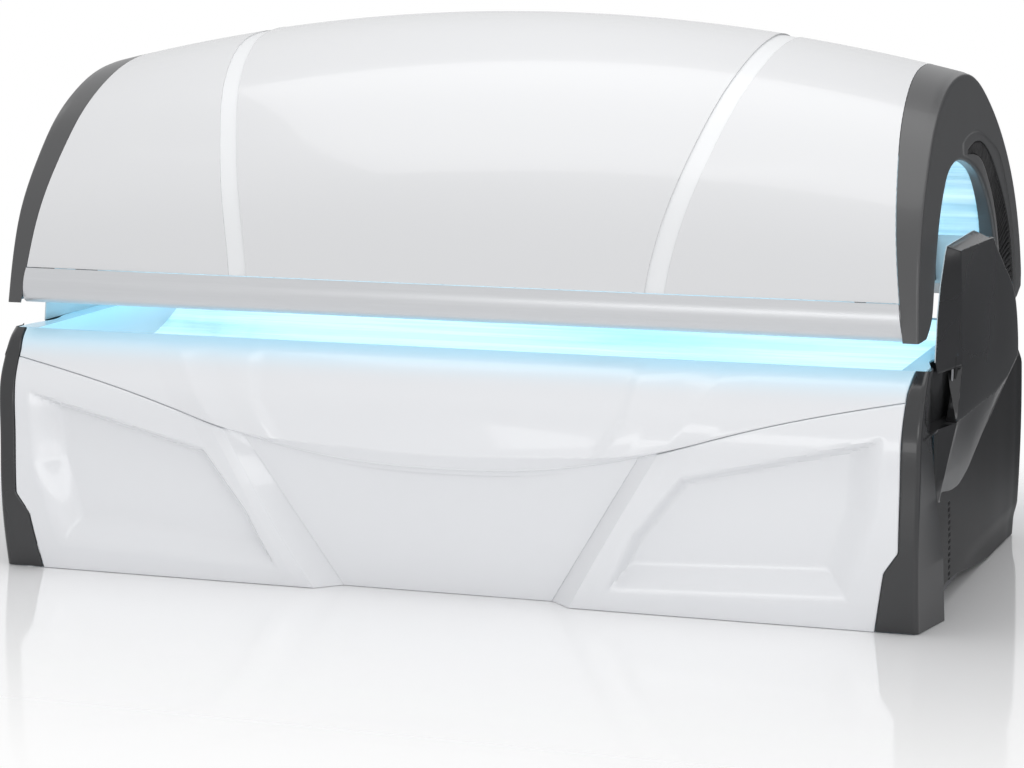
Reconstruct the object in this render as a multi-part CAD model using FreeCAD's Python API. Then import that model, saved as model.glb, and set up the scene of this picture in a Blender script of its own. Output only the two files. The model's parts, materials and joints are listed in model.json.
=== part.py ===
import FreeCAD, Part
import math
import os

# Clamshell tanning bed, closed. Millimetres. Origin on the floor at the centre of the machine's outline,
# +X along the length (to the right from the front), -Y is the front that faces the user, +Z up.

V = FreeCAD.Vector

# ---------------------------------------------------------------- driving dimensions
HALF_LENGTH = 1150.0            # centre to the outer face of an end ring or front end cap
RUN_GAP = 0.3                   # air between neighbours that don't fit into each other
SEAM = 1.5                      # visible seam between moulded covers
SKIN = 4.0                      # wall of the moulded covers
SHEET = 3.0                     # steel sheet parts
INBOARD = HALF_LENGTH - 160.0   # blocks that cut the end pieces start here
OUTBOARD = HALF_LENGTH + 200.0  # and reach to here, beyond every piece

# base
BASE_TOP = 592.0                # top of the base deck
PANEL_FOOT = 8.0                # underside of the moulded front panels
LIP = 3.0                       # joggled lip behind the seam between the front panels
LIP_REACH = 12.0
FRONT_CURVE = [
    (-683, 0), (-704, 110), (-712, 236), (-708, 360), (-699, 474), (-672, 528), (-640, 572), (-612, 592),
]
BASE_BACK = 478.0               # rear face of the back panel
BACK_SHOULDER = 345.0           # height where the back panel leans forward
END_CAP_BACK = [
    (-525, 0), (-545, 289), (-572, 440), (-619, 454), (-664, 486), (-652, 524), (-612, 564), (-566, 592),
]
END_CAP_FLARE = [(-20, 32), (150, 29), (290, 10), (440, 1), (620, 0)]   # z, rear edge beyond HALF_LENGTH
FLARE_Y = -525.0
END_CAP_WIDTH = [(100, 0), (77, 143), (44, 192), (44, 440), (41, 545), (31, 600)]   # inward width, z
END_CAP_EDGE = [(HALF_LENGTH - width, z) for width, z in END_CAP_WIDTH]
CENTRE_TOP_HALF = 500.0         # half width of the recessed centre panel at its top
CENTRE_FOOT_HALF = 262.0        # half width of the recessed centre panel at the floor
CENTRE_LEAN = 54.0              # how far the centre panel's foot stands back
CENTRE_TOP = 384.0
FLANGE_TOP = CENTRE_TOP_HALF + 45.0         # x of the diagonal rib's outer crease at its upper end
FLANGE_FOOT = CENTRE_FOOT_HALF + 61.0       # and at its lower end
UPPER_SEAM = [
    (HALF_LENGTH - 41, 528), (HALF_LENGTH - 168, 503), (HALF_LENGTH - 387, 451), (FLANGE_TOP, 386),
    (360, 343), (190, 322), (0, 316),
]
POCKET = [
    (HALF_LENGTH - 80, 450), (HALF_LENGTH - 92, 270), (HALF_LENGTH - 154, 64), (FLANGE_FOOT + 91, 46),
    (FLANGE_TOP - 61, 190), (FLANGE_TOP + 51, 332),
]
POCKET_DEPTH = 34.0
POCKET_SLOPE = 30.0

# side housings and columns
WALL_X = HALF_LENGTH + 1.0      # inner face of the base end wall
COVER_X = WALL_X + SHEET + RUN_GAP
HOUSING_FRONT = -560.0
HOUSING_BULGE = [
    (5.7, -480), (13.7, -350), (31.7, -180), (55.7, 20), (73.7, 190), (77.7, 300), (67.7, 410), (35.7, 488),
]                               # out from COVER_X, y
HOUSING_BACK = 504.0
HOUSING_TOP = 588.0
HOUSING_ARCH = [(-484, 44), (-390, 57), (-250, 50), (-100, 28), (60, 10), (160, 2), (600, 2)]
HOUSING_BACK_TOP = [(600, 432), (504, 432), (386, 540), (326, 572), (240, 588)]
SCOOP_BACK = -330.0             # rear end of the hollow in front of the column
SCOOP_FLOOR = 446.0
VENT_SLOTS = 14
VENT_SLOT_SIZE = (26, 8)        # length along Y and height of one slot
VENT_PITCH = 15.8
VENT_TOP = 252.0
COLUMN_EDGE = [(-548, 240), (-540, 360), (-520, 480), (-490, 620), (-470, 720), (-432, 800), (-356, 866)]
COLUMN_FRONT = [(-500, 268), (-536, 300), (-530, 444), (-332, 446), (-480, 578)] + COLUMN_EDGE[3:]
COLUMN_REAR = [(-34, 866), (28, 836), (132, 773), (236, 712), (318, 647), (366, 572), (386, 500)]
COLUMN_KEEL = [(386, 500), (318, 428), (182, 348), (40, 306), (-120, 280), (-300, 264), (-500, 268)]
COLUMN_THICKNESS = [(-380, 34), (-150, 50), (120, 75), (330, 83), (480, 60)]
COLUMN_THINNING = (450.0, 800.0, 0.42)      # from this height to that one the flank loses this share
COLUMN_CREASE = (21, 16)        # crease of the front facet: out from the inner face, back from the edge
COLUMN_TOP_SLOPE = 22.0
INNER_PANEL_X = HALF_LENGTH - 15.0          # tunnel side of the column's inner panel

# bed
BED_HALF = HALF_LENGTH - 65.0
DECK_FRONT = -609.4             # front edge of the deck, behind the upper front panel's rim
ACRYLIC = 8.0
BED_CURVE = [
    (-603, 588), (-560, 534), (-470, 492), (-340, 470), (-180, 464), (-20, 476), (120, 508), (230, 556),
    (284, 586),
]
LAMP_D = 38.0
LAMP_LENGTH = 2 * (HALF_LENGTH - 200.0)
BED_LAMPS = 11
HOLDER_D = 44.0
HOLDER_LENGTH = 24.0
LAMP_DROP = 36.0                # acrylic underside to lamp axis
REFLECTOR_DROP = 66.0           # acrylic underside to reflector
RACK_X = LAMP_LENGTH / 2 + HOLDER_LENGTH + 2 * RUN_GAP
FRAME_TUBE = 40.0
FRAME_WALL = 2.0
FRAME_Z = 34.0                  # underside of the frame's rails
FRAME_FRONT = -580.0
FRAME_BACK = BASE_BACK - SHEET - RUN_GAP - FRAME_TUBE
FRAME_END = WALL_X - RUN_GAP
LEG_TOP = BASE_TOP - SHEET - RUN_GAP
LEG_INSET = 12.0
FOOT_X = (50.0 - HALF_LENGTH, -380.0, 380.0, HALF_LENGTH - 50.0)
FOOT_Y = (FRAME_FRONT + FRAME_TUBE / 2, FRAME_BACK + FRAME_TUBE / 2)

# canopy
CANOPY_FRONT_LIP = 662.0
CANOPY_PROFILE = [
    (-672, 662), (-710, 780), (-727, 901), (-698, 1010), (-658, 1077), (-588, 1138), (-486, 1200),
    (-391, 1229), (-240, 1241), (-21, 1205), (242, 1110), (397, 1021), (540, 905), (675, 762), (720, 698),
    (727, 640),
]
CANOPY_SWELL = 0.2245           # extra height of the crown at the middle, as a share of its end height
CANOPY_FOOT = [(727, 632), (647, 605), (515, 620)]
OPENING = [
    (-590, 716), (-573, 786), (-541, 878), (-501, 956), (-443, 1008), (-397, 1028), (-347, 1039),
    (-228, 1038), (-83, 1012), (32, 974), (137, 912), (225, 840),
]
OPENING_FRONT = (-652, 663)
OPENING_BACK = (346, 660)
RING_SEAM_FOOT = HALF_LENGTH - 52.0         # inboard edge of the ring at the lip
RING_SEAM_LEAN = 48.0           # how far that edge leans inboard at the crown
RING_CROWN = 1241.0
RING_WALL = 6.0
RING_CHAMFER = 7.0
TRIM_HEIGHT = 88.0              # front handle strip with its seam
SHELL_FOOT = CANOPY_FRONT_LIP + TRIM_HEIGHT     # lower edge of the white shell at the front
SHELL_BACK_FOOT = 642.0
TRIM_TOP = SHELL_FOOT - SEAM
SEAM_STRIP = 46.0               # width of the light strips between the shells
SEAM_FOOT_X = 520.0
SEAM_TOP_X = 680.0
CENTRE_PROUD = 2.0
STRIP_LIP = 12.0                # how far a seam strip's base reaches behind the shells
VENT_INNER = [
    (-172, 1046), (-60, 1038), (60, 1008), (150, 958), (240, 892), (312, 810), (360, 726), (384, 662),
]
VENT_OUTER = [
    (-186, 1052), (-60, 1070), (60, 1056), (180, 1016), (300, 952), (420, 876), (530, 776), (592, 662),
]
VENT_RECESS = 9.0
VENT_SLATS = 58
VENT_SLAT = 4.0
CANOPY_ACRYLIC_HALF = HALF_LENGTH - 40.0
CANOPY_ACRYLIC = 4.0
ACRYLIC_SHADOW = RING_WALL + 2 * RUN_GAP    # the acrylic's ends lie over the rings' collars
ACRYLIC_BACK = ACRYLIC_SHADOW + CANOPY_ACRYLIC
CANOPY_LAMPS = 14
RIB_X = (-820.0, -400.0, 0.0, 400.0, 820.0)
TRIM_LINE = [(-696, TRIM_TOP), (-700, 724), (-692, 690), (-676, 668), (-660, CANOPY_FRONT_LIP)]
TRIM = 8.0
REAR_EDGE = [(719, 668), (721.8, 645), (712, 634), (644, 612), (515, 627), (372, 664), (340, 690), (296, 770)]
PIVOT = (240.0, 640.0)          # y and z of the hinge axis
PIN_D = 24.0
PIN_FIT = 0.05                  # radial running clearance of the pin in its bush
BUSH_WALL = 4.0
POST = 14.0                     # plate of the pivot post
BRACKET_X = HALF_LENGTH - 68.0
BRACKET = 12.0

# fans, controls
FAN_X = 560.0
FAN_Z = 178.0
FAN_D = 180.0
FAN_BLADES = 7
INLET = (940.0, 120.0)          # x and z of the supply inlet on the back panel
BUTTON_D = 13.0
BUTTON_PITCH = 26.0
BUTTONS = 4
BUTTON_TRAVEL = 1.5
LIP_SLOPE = [(-640, 670), (-602, 704)]      # slanted inner face of the lip, which carries the controls
PANEL_X = 380.0
PANEL_SIZE = (140.0, 34.0, 8.0)


# ---------------------------------------------------------------- helpers
def prism_x(points, x0, x1):
    """Solid between x0 and x1 with the closed (y, z) outline."""
    wire = Part.makePolygon([V(x0, y, z) for y, z in points + points[:1]])
    return Part.Face(wire).extrude(V(x1 - x0, 0, 0))


def prism_y(points, y0, y1):
    """Solid between y0 and y1 with the closed (x, z) outline."""
    wire = Part.makePolygon([V(x, y0, z) for x, z in points + points[:1]])
    return Part.Face(wire).extrude(V(0, y1 - y0, 0))


def box(x0, x1, y0, y1, z0, z1):
    """Box by its limits."""
    return Part.makeBox(x1 - x0, y1 - y0, z1 - z0, V(x0, y0, z0))


def rod_x(diameter, x0, x1, y, z):
    """Cylinder along X."""
    return Part.makeCylinder(diameter / 2, x1 - x0, V(x0, y, z), V(1, 0, 0))


def mirrored(shape):
    """The same piece at the other end of the machine."""
    return shape.mirror(V(0, 0, 0), V(1, 0, 0))


def both_ends(shape):
    """One node with the piece at both ends of the machine."""
    return Part.makeCompound([shape, mirrored(shape)])


def spline(points):
    """Smooth edge through the points."""
    curve = Part.BSplineCurve()
    curve.interpolate(points)
    return curve.toShape()


def offset_points(points, distance):
    """Open (a, b) polyline moved to its left by the distance, point by point."""
    moved = []
    last = len(points) - 1
    for i, (a, b) in enumerate(points):
        a0, b0 = points[max(i - 1, 0)]
        a1, b1 = points[min(i + 1, last)]
        length = math.hypot(a1 - a0, b1 - b0)
        moved.append((a - (b1 - b0) / length * distance, b + (a1 - a0) / length * distance))
    return moved


def sheet_x(points, thickness, x0, x1, smooth=True):
    """Bent sheet along X: the (y, z) line given, thickened to its left."""
    inner = offset_points(points, thickness)
    front = [V(x0, y, z) for y, z in points]
    back = [V(x0, y, z) for y, z in inner]
    if smooth:
        ends = [Part.makeLine(front[-1], back[-1]), Part.makeLine(back[0], front[0])]
        wire = Part.Wire(Part.__sortEdges__([spline(front), spline(back)] + ends))
    else:
        wire = Part.makePolygon(front + back[::-1] + front[:1])
    return Part.Face(wire).extrude(V(x1 - x0, 0, 0))


def sample(points, count, inset=0.0):
    """Evenly spaced places along the smooth (y, z) line: (y, z, unit tangent)."""
    curve = Part.BSplineCurve()
    curve.interpolate([V(0, y, z) for y, z in points])
    length = curve.length()
    places = []
    for i in range(count):
        along = inset + (length - 2 * inset) * i / (count - 1)
        u = curve.parameterAtDistance(along, curve.FirstParameter)
        p = curve.value(u)
        t = curve.tangent(u)[0]
        places.append((p.y, p.z, t.y, t.z))
    return places


def front_at(z):
    """Y of the base's front surface at a height."""
    for (y0, z0), (y1, z1) in zip(FRONT_CURVE, FRONT_CURVE[1:]):
        if z <= z1:
            return y0 + (y1 - y0) * (z - z0) / (z1 - z0)
    return FRONT_CURVE[-1][0]


def inset_polygon(points, distance):
    """Closed (a, b) outline, drawn clockwise, moved inward by the distance with mitred corners."""
    moved = []
    count = len(points)
    for i in range(count):
        ax, ay = points[i - 1]
        bx, by = points[i]
        cx, cy = points[(i + 1) % count]
        l1 = math.hypot(bx - ax, by - ay)
        l2 = math.hypot(cx - bx, cy - by)
        n1 = ((by - ay) / l1, -(bx - ax) / l1)
        n2 = ((cy - by) / l2, -(cx - bx) / l2)
        scale = distance / (1 + n1[0] * n2[0] + n1[1] * n2[1])
        moved.append((bx + (n1[0] + n2[0]) * scale, by + (n1[1] + n2[1]) * scale))
    return moved


# ---------------------------------------------------------------- base covers
def front_skin(offset=0.0):
    """The base's whole moulded front as one curved wall, before it is cut into panels."""
    curve = offset_points(FRONT_CURVE, -offset)
    return sheet_x(curve, -SKIN, -HALF_LENGTH, HALF_LENGTH)


def panel_outline():
    """Outline between the two end caps (x, z)."""
    edge = [(x - SEAM, z) for x, z in END_CAP_EDGE]
    return edge + [(-x, z) for x, z in edge[::-1]]


def upper_seam_line(shift):
    """U-shaped seam across the whole front, moved up by the shift."""
    right = [(x, z + shift) for x, z in UPPER_SEAM]
    left = [(-x, z) for x, z in right[::-1][1:]]
    return right + left


def above_seam(shift):
    """Block above the U-shaped seam, moved up by the shift."""
    reach = HALF_LENGTH + 10
    line = upper_seam_line(shift)
    outline = [(reach, 640), (reach, line[0][1])] + line + [(-reach, line[0][1]), (-reach, 640)]
    return prism_y(outline, -800, -400)


def upper_front_panel():
    """White upper panel above the U-shaped seam; its joggled lip reaches behind the lower panels."""
    skin = front_skin().common(above_seam(0))
    behind = offset_points(FRONT_CURVE, -SKIN - RUN_GAP)
    lip = sheet_x(behind, -LIP, -HALF_LENGTH, HALF_LENGTH)
    joggle = sheet_x(offset_points(FRONT_CURVE, -SKIN / 2), -SKIN, -HALF_LENGTH, HALF_LENGTH)
    lip = lip.common(above_seam(-LIP_REACH)).cut(above_seam(LIP_REACH))
    joggle = joggle.common(above_seam(1)).cut(above_seam(LIP_REACH))
    window = prism_y(panel_outline(), -800, -400)
    return skin.fuse([lip, joggle]).common(window)


def pocket(grow, depth):
    """Tapered block that fills a pocket: grown outline at the mouth, sloped in at the floor."""
    mouth = inset_polygon(POCKET, -grow)
    floor = inset_polygon(POCKET, POCKET_SLOPE - grow)
    y_mouth = FRONT_CURVE[2][0] - 3
    y_floor = FRONT_CURVE[2][0] + depth
    wires = []
    for outline, y in ((mouth, y_mouth), (floor, y_floor)):
        wires.append(Part.makePolygon([V(x, y, z) for x, z in outline + outline[:1]]))
    return Part.makeLoft(wires, True, True)


def lower_side_panel():
    """Right lower panel: moulded pocket and the sloping flank of the diagonal rib."""
    line = upper_seam_line(-SEAM)
    right = [p for p in line if p[0] >= FLANGE_TOP]
    outline = [(HALF_LENGTH, right[0][1])] + right
    outline += [(FLANGE_FOOT, PANEL_FOOT), (HALF_LENGTH, PANEL_FOOT)]
    area = prism_y(outline, -800, -500).common(prism_y(panel_outline(), -800, -500))
    skin = front_skin().common(area).cut(pocket(0, POCKET_DEPTH))
    behind = sheet_x(FRONT_CURVE, -120, 0, HALF_LENGTH).common(area)
    tray = pocket(SKIN, POCKET_DEPTH + SKIN).cut(pocket(0, POCKET_DEPTH)).common(behind)
    flank = rib_flank(SKIN).cut(above_seam(-LIP_REACH - SEAM))
    return skin.fuse([tray, flank])


def centre_y(z):
    """Y of the recessed centre panel's face at a height."""
    share = (CENTRE_TOP - z) / (CENTRE_TOP - PANEL_FOOT)
    top = front_at(CENTRE_TOP) + LIP + SKIN + 2
    return top + (front_at(PANEL_FOOT) + CENTRE_LEAN - top) * share


def rib_flank(width):
    """Sloping flank from the diagonal rib's crease back past the centre panel."""
    z = UPPER_SEAM[3][1] - SEAM
    top = V(FLANGE_TOP, front_at(z) + 1, z)
    foot = V(FLANGE_FOOT, front_at(PANEL_FOOT) + 1, PANEL_FOOT)
    back_top = V(CENTRE_TOP_HALF, centre_y(z) + SKIN + 2, z)
    back_foot = V(CENTRE_FOOT_HALF, centre_y(PANEL_FOOT) + SKIN + 2, PANEL_FOOT)
    flank = Part.makeRuledSurface(Part.makeLine(top, foot), Part.makeLine(back_top, back_foot))
    return flank.extrude(V(width, 0, 0))


def lower_centre_panel():
    """Recessed centre panel that leans back towards the floor, between the two rib flanks."""
    line = [(centre_y(CENTRE_TOP), CENTRE_TOP), (centre_y(PANEL_FOOT), PANEL_FOOT)]
    skin = sheet_x(line, SKIN, -CENTRE_TOP_HALF, CENTRE_TOP_HALF, smooth=False)
    outboard = rib_flank(2 * CENTRE_TOP_HALF)
    outboard.translate(V(-RUN_GAP, 0, 0))
    return skin.cut(outboard).cut(mirrored(outboard))


def flank_block(inset):
    """Everything inboard of the end cap's flank, which flares outward towards its foot."""
    wires = []
    x0 = INBOARD - 20
    for z, flare in END_CAP_FLARE:
        slope = flare / (FLARE_Y - front_at(max(z, 0)))
        near = V(HALF_LENGTH - inset + slope * (-800 - front_at(max(z, 0))), -800, z)
        far = V(HALF_LENGTH + flare - inset + slope * 100, FLARE_Y + 100, z)
        wires.append(Part.makePolygon([V(x0, -800, z), near, far, V(x0, far.y, z), V(x0, -800, z)]))
    return Part.makeLoft(wires, True, True)


def end_cap():
    """Right front end cap: the dark corner strip and its flat flank."""
    reach = V(OUTBOARD - INBOARD, 0, 0)
    outer_curve = [V(INBOARD, y, z) for y, z in FRONT_CURVE]
    edges = [spline(outer_curve)]
    corners = [outer_curve[-1]] + [V(INBOARD, y, z) for y, z in END_CAP_BACK[::-1]] + [outer_curve[0]]
    edges += [Part.makeLine(a, b) for a, b in zip(corners, corners[1:])]
    outer = Part.Face(Part.Wire(edges)).extrude(reach).common(flank_block(0))
    x0 = INBOARD - 10
    inner_curve = [V(x0, y, z) for y, z in offset_points(FRONT_CURVE, -SKIN)]
    ends = [inner_curve[-1], V(x0, -300, inner_curve[-1].z), V(x0, -300, -20), V(x0, inner_curve[0].y, -20)]
    edges = [spline(inner_curve)]
    ends.append(inner_curve[0])
    edges += [Part.makeLine(a, b) for a, b in zip(ends, ends[1:])]
    inner = Part.Face(Part.Wire(edges)).extrude(reach).common(flank_block(SKIN))
    cap = outer.cut(inner)
    strip = END_CAP_EDGE + [(OUTBOARD, 600), (OUTBOARD, 0)]
    return cap.common(prism_y(strip, -800, -300)).common(box(0, OUTBOARD, -800, 0, 2, BASE_TOP))


def housing_section(z, inset, reach):
    """Horizontal outline of the bulging side housing at a height."""
    swell = 1.0 - 0.25 * ((z - 300.0) / 320.0) ** 2
    flank = [V(COVER_X + bulge * swell - inset, y, z) for bulge, y in HOUSING_BULGE]
    front = V(COVER_X - reach, HOUSING_FRONT + inset, z)
    back = V(COVER_X - reach, HOUSING_BACK - inset, z)
    nose = V(COVER_X + 0.5, HOUSING_FRONT + inset, z)
    tail = V(COVER_X + 8, HOUSING_BACK - inset, z)
    edges = [Part.makeLine(front, nose), spline([nose] + flank + [tail])]
    return Part.Wire(edges + [Part.makeLine(tail, back), Part.makeLine(back, front)])


def housing_block(inset, reach):
    """Filled side housing, before its wall is hollowed."""
    levels = (-10, 150, 300, 450, 600)
    return Part.makeLoft([housing_section(z, inset, reach) for z in levels], True, False)


def housing_window(inset):
    """Side outline (y, z) that trims the housing: arched foot, scoop in front, sloped rear top."""
    arch = [(y, z - 6 * inset) for y, z in HOUSING_ARCH]
    back_top = [(y, z - inset) for y, z in HOUSING_BACK_TOP]
    front = [(SCOOP_BACK + inset, HOUSING_TOP - inset), (SCOOP_BACK + inset, SCOOP_FLOOR - inset)]
    front += [(y + SEAM + inset, z - inset) for y, z in END_CAP_BACK[2::-1]]
    return prism_x(arch + back_top + front, INBOARD, OUTBOARD)


def side_housing():
    """Right side housing: bulging wall with a column of vent slots and an arched foot."""
    hollow = housing_block(SKIN, 20).common(housing_window(SKIN))
    shell = housing_block(0, 0).common(housing_window(0)).cut(hollow)
    length, height = VENT_SLOT_SIZE
    slots = []
    for i in range(VENT_SLOTS):
        z = VENT_TOP - i * VENT_PITCH
        y = -394 + 6 * math.sin(i / (VENT_SLOTS - 1) * math.pi) + 2 * i
        slots.append(box(COVER_X - 5, OUTBOARD, y, y + length, z - height, z))
    y, z = PIVOT
    notch = box(COVER_X - 5, COVER_X + POST + 2 * RUN_GAP, y - 30, y + 30, z - 90, z)
    return shell.cut(Part.makeCompound(slots + [notch]))


def line_at(points, z):
    """First coordinate of a (y, z) line at a height, straight between its points."""
    for (y0, z0), (y1, z1) in zip(points, points[1:]):
        if z <= z1:
            return y0 + (y1 - y0) * (z - z0) / (z1 - z0)
    return points[-1][0]


def column_section(z, inset, x_inner):
    """Horizontal outline of the column: sharp front crease, then a long lens-shaped flank."""
    out, back = COLUMN_CREASE
    low, high, share = COLUMN_THINNING
    thin = 1 - share * max(0.0, min(1.0, (z - low) / (high - low)))
    front = line_at(COLUMN_EDGE, z) + inset
    crease = V(COVER_X + out - inset * 0.4, front + back, z)
    flank = [V(COVER_X + thick * thin - inset, y, z) for y, thick in COLUMN_THICKNESS]
    first = V(x_inner, front, z)
    last = V(x_inner, flank[-1].y, z)
    edges = [Part.makeLine(first, crease), spline([crease] + flank[1:])]
    edges += [Part.makeLine(flank[-1], last), Part.makeLine(last, first)]
    return Part.Wire(edges)


def column_outline(inset):
    """Side outline edges of the column: straight front, curved rear and keel."""
    x = INBOARD
    front = [V(x, y + inset, z) for y, z in COLUMN_FRONT]
    rear = [V(x, y, z) for y, z in offset_points(COLUMN_REAR, -inset)]
    keel = [rear[-1]] + [V(x, y, z + inset) for y, z in COLUMN_KEEL[1:-1]] + [V(x, front[0].y, front[0].z)]
    edges = [Part.makeLine(a, b) for a, b in zip(front, front[1:])]
    edges += [Part.makeLine(front[-1], rear[0]), spline(rear), spline(keel)]
    return Part.Wire(edges)


def column_block(inset, x_inner):
    """Filled blade-shaped column."""
    levels = (240, 360, 480, 600, 740, 880)
    body = Part.makeLoft([column_section(z, inset, x_inner) for z in levels], True, False)
    return body.common(Part.Face(column_outline(inset)).extrude(V(OUTBOARD - INBOARD, 0, 0)))


def column_cover():
    """Right column cover: a hollow blade outside the housing, with an oblique top facet."""
    blade = column_block(0, COVER_X)
    hollow = column_block(SKIN, COVER_X - 5).common(box(INBOARD, OUTBOARD, -700, 700, 200, 846))
    x1 = COVER_X + 76
    top = [(COVER_X - 20, 870), (x1, 870 - COLUMN_TOP_SLOPE * 2.2), (x1, 900), (COVER_X - 20, 900)]
    cover = blade.cut(hollow).cut(prism_y(top, -700, 400))
    below = box(INBOARD, OUTBOARD, -700, 700, -20, HOUSING_TOP + RUN_GAP)
    return cover.cut(housing_block(-RUN_GAP, 0).common(below))


def column_inner_panel():
    """Light panel on the tunnel side of the column, standing on the deck."""
    outline = Part.Face(column_outline(3)).extrude(V(OUTBOARD - INBOARD, 0, 0))
    panel = box(INNER_PANEL_X, COVER_X - RUN_GAP, -700, 300, BASE_TOP + RUN_GAP, 858).common(outline)
    bore = rod_x(PIN_D + 30, INNER_PANEL_X - 5, COVER_X + 5, *PIVOT)
    return panel.cut(bore)


def end_wall():
    """Right end wall of the base: flat sheet between the bed and the side housing."""
    top = HOUSING_TOP - 4
    floor = SCOOP_FLOOR - 4
    outline = [(-540, 110), (60, 120), (BASE_BACK, 60), (BASE_BACK, 425), (376, 545), (300, 570), (286, top)]
    outline += [(SCOOP_BACK - 10, top), (SCOOP_BACK - 10, floor), (-540, floor)]
    return prism_x(outline, WALL_X, WALL_X + SHEET)


def back_panel():
    """Rear sheet: upright with fan openings, then leaning forward to the bed's rear edge."""
    y0 = BASE_BACK
    line = [(292, BASE_TOP - 2), (312, BASE_TOP - 10), (y0, BACK_SHOULDER), (y0, 20)]
    panel = sheet_x(line, -SHEET, -WALL_X + RUN_GAP, WALL_X - RUN_GAP, smooth=False)
    for x in (-FAN_X, FAN_X):
        hole = Part.makeCylinder(FAN_D / 2 + 2, 40, V(x, y0 - 20, FAN_Z), V(0, 1, 0))
        panel = panel.cut(hole)
        for k in range(-3, 4):
            z = FAN_Z + k * 26
            half = math.sqrt(max((FAN_D / 2 + 4) ** 2 - (z - FAN_Z) ** 2, 0))
            panel = panel.fuse(box(x - half, x + half, y0 - SHEET, y0, z - 3, z + 3))
    return panel


# ---------------------------------------------------------------- base structure
def square_tube(a, b, size, wall, axis):
    """Hollow square tube from corner a, along the axis for the length b."""
    outer = {"x": (b, size, size), "y": (size, b, size), "z": (size, size, b)}[axis]
    inner = {"x": (b, size - 2 * wall, size - 2 * wall), "y": (size - 2 * wall, b, size - 2 * wall),
             "z": (size - 2 * wall, size - 2 * wall, b)}[axis]
    shift = {"x": V(0, wall, wall), "y": V(wall, 0, wall), "z": V(wall, wall, 0)}[axis]
    return Part.makeBox(*outer, a).cut(Part.makeBox(*inner, a + shift))


def base_frame():
    """Welded tube frame: two rails, cross tubes and legs that carry the bed's racks."""
    pieces = []
    for y in (FRAME_FRONT, FRAME_BACK):
        pieces.append(square_tube(V(-FRAME_END, y, FRAME_Z), 2 * FRAME_END, FRAME_TUBE, FRAME_WALL, "x"))
    length = FRAME_BACK - FRAME_FRONT - FRAME_TUBE
    for x in (-FRAME_END, -400, 400 - FRAME_TUBE, FRAME_END - FRAME_TUBE):
        corner = V(x, FRAME_FRONT + FRAME_TUBE, FRAME_Z)
        pieces.append(square_tube(corner, length, FRAME_TUBE, FRAME_WALL, "y"))
    leg = LEG_TOP - FRAME_Z - FRAME_TUBE
    for x in (-FRAME_END + LEG_INSET, FRAME_END - LEG_INSET - FRAME_TUBE):
        for y in (FRAME_FRONT, 200):
            low = FRAME_Z + FRAME_TUBE
            pieces.append(square_tube(V(x, y, low), leg, FRAME_TUBE, FRAME_WALL, "z"))
    return pieces[0].fuse(pieces[1:])


def levelling_feet():
    """Eight levelling feet under the frame rails."""
    feet = []
    for x, y in [(x, y) for x in FOOT_X for y in FOOT_Y]:
        pad = Part.makeCylinder(20, 10, V(x, y, 0)).fuse(Part.makeCone(20, 12, 6, V(x, y, 10)))
        feet.append(pad.fuse(Part.makeCylinder(6, FRAME_Z - 10, V(x, y, 10))))
    return Part.makeCompound(feet)


def pivot_post():
    """Right steel post inside the column: carries the hinge bush."""
    y, z = PIVOT
    x0 = COVER_X + RUN_GAP
    plate = prism_x([(y - 90, 60), (y + 90, 60), (y + 27, z - 90), (y - 27, z - 90)], x0, x0 + POST)
    head = rod_x(56, x0, x0 + 22, y, z)
    neck = prism_x([(y - 27, z - 90), (y + 27, z - 90), (y + 24, z), (y - 24, z)], x0, x0 + POST)
    bore = rod_x(PIN_D + 2 * PIN_FIT + 2 * BUSH_WALL, x0 - 5, x0 + 40, y, z)
    return plate.fuse([neck, head]).cut(bore)


def pivot_bush():
    """Right hinge bush in the post's head."""
    x0 = COVER_X + RUN_GAP
    outer = rod_x(PIN_D + 2 * PIN_FIT + 2 * BUSH_WALL, x0, x0 + 22, *PIVOT)
    return outer.cut(rod_x(PIN_D + 2 * PIN_FIT, x0 - 5, x0 + 30, *PIVOT))


def floor_tray():
    """Folded tray that closes the base from below and carries the ballasts."""
    z = FRAME_Z + FRAME_TUBE
    half = FRAME_END - LEG_INSET - FRAME_TUBE - RUN_GAP
    plate = box(-half, half, FRAME_FRONT + 50, FRAME_BACK - 10, z + RUN_GAP, z + RUN_GAP + 2)
    rims = [box(-half, half, y, y + 2, z + RUN_GAP, z + 18) for y in (FRAME_FRONT + 50, FRAME_BACK - 12)]
    return plate.fuse(rims)


def ballasts():
    """Lamp ballasts in two rows on the tray."""
    z = FRAME_Z + FRAME_TUBE + RUN_GAP + 2
    blocks = []
    for i in range(8):
        x = -820 + i * 220
        for y in (-420, -120):
            blocks.append(box(x, x + 150, y, y + 66, z, z + 54))
    return Part.makeCompound(blocks)


def bed_acrylic():
    """Clear curved sheet that the user lies on."""
    return sheet_x(BED_CURVE, -ACRYLIC, -BED_HALF, BED_HALF)


def bed_end_frame():
    """Right end of the bed: upright plate shaped to the acrylic's edge, and the deck over it."""
    x0 = BED_HALF + RUN_GAP
    curve = offset_points(BED_CURVE, -ACRYLIC - 4)
    under = [(curve[-1][0], 420), (curve[0][0], 420)]
    outline = [(DECK_FRONT + 10, BASE_TOP - SHEET), (280, BASE_TOP - SHEET)] + under
    plate = prism_x(outline, x0, x0 + SHEET)
    back = END_CAP_BACK[-1][0] + RUN_GAP
    deck = box(x0, WALL_X - RUN_GAP, back, 286, BASE_TOP - SHEET, BASE_TOP)
    nose = box(x0, END_CAP_EDGE[-1][0] - 2 * SEAM, DECK_FRONT, back, BASE_TOP - SHEET, BASE_TOP)
    return plate.fuse([deck, nose]).removeSplitter()


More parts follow.
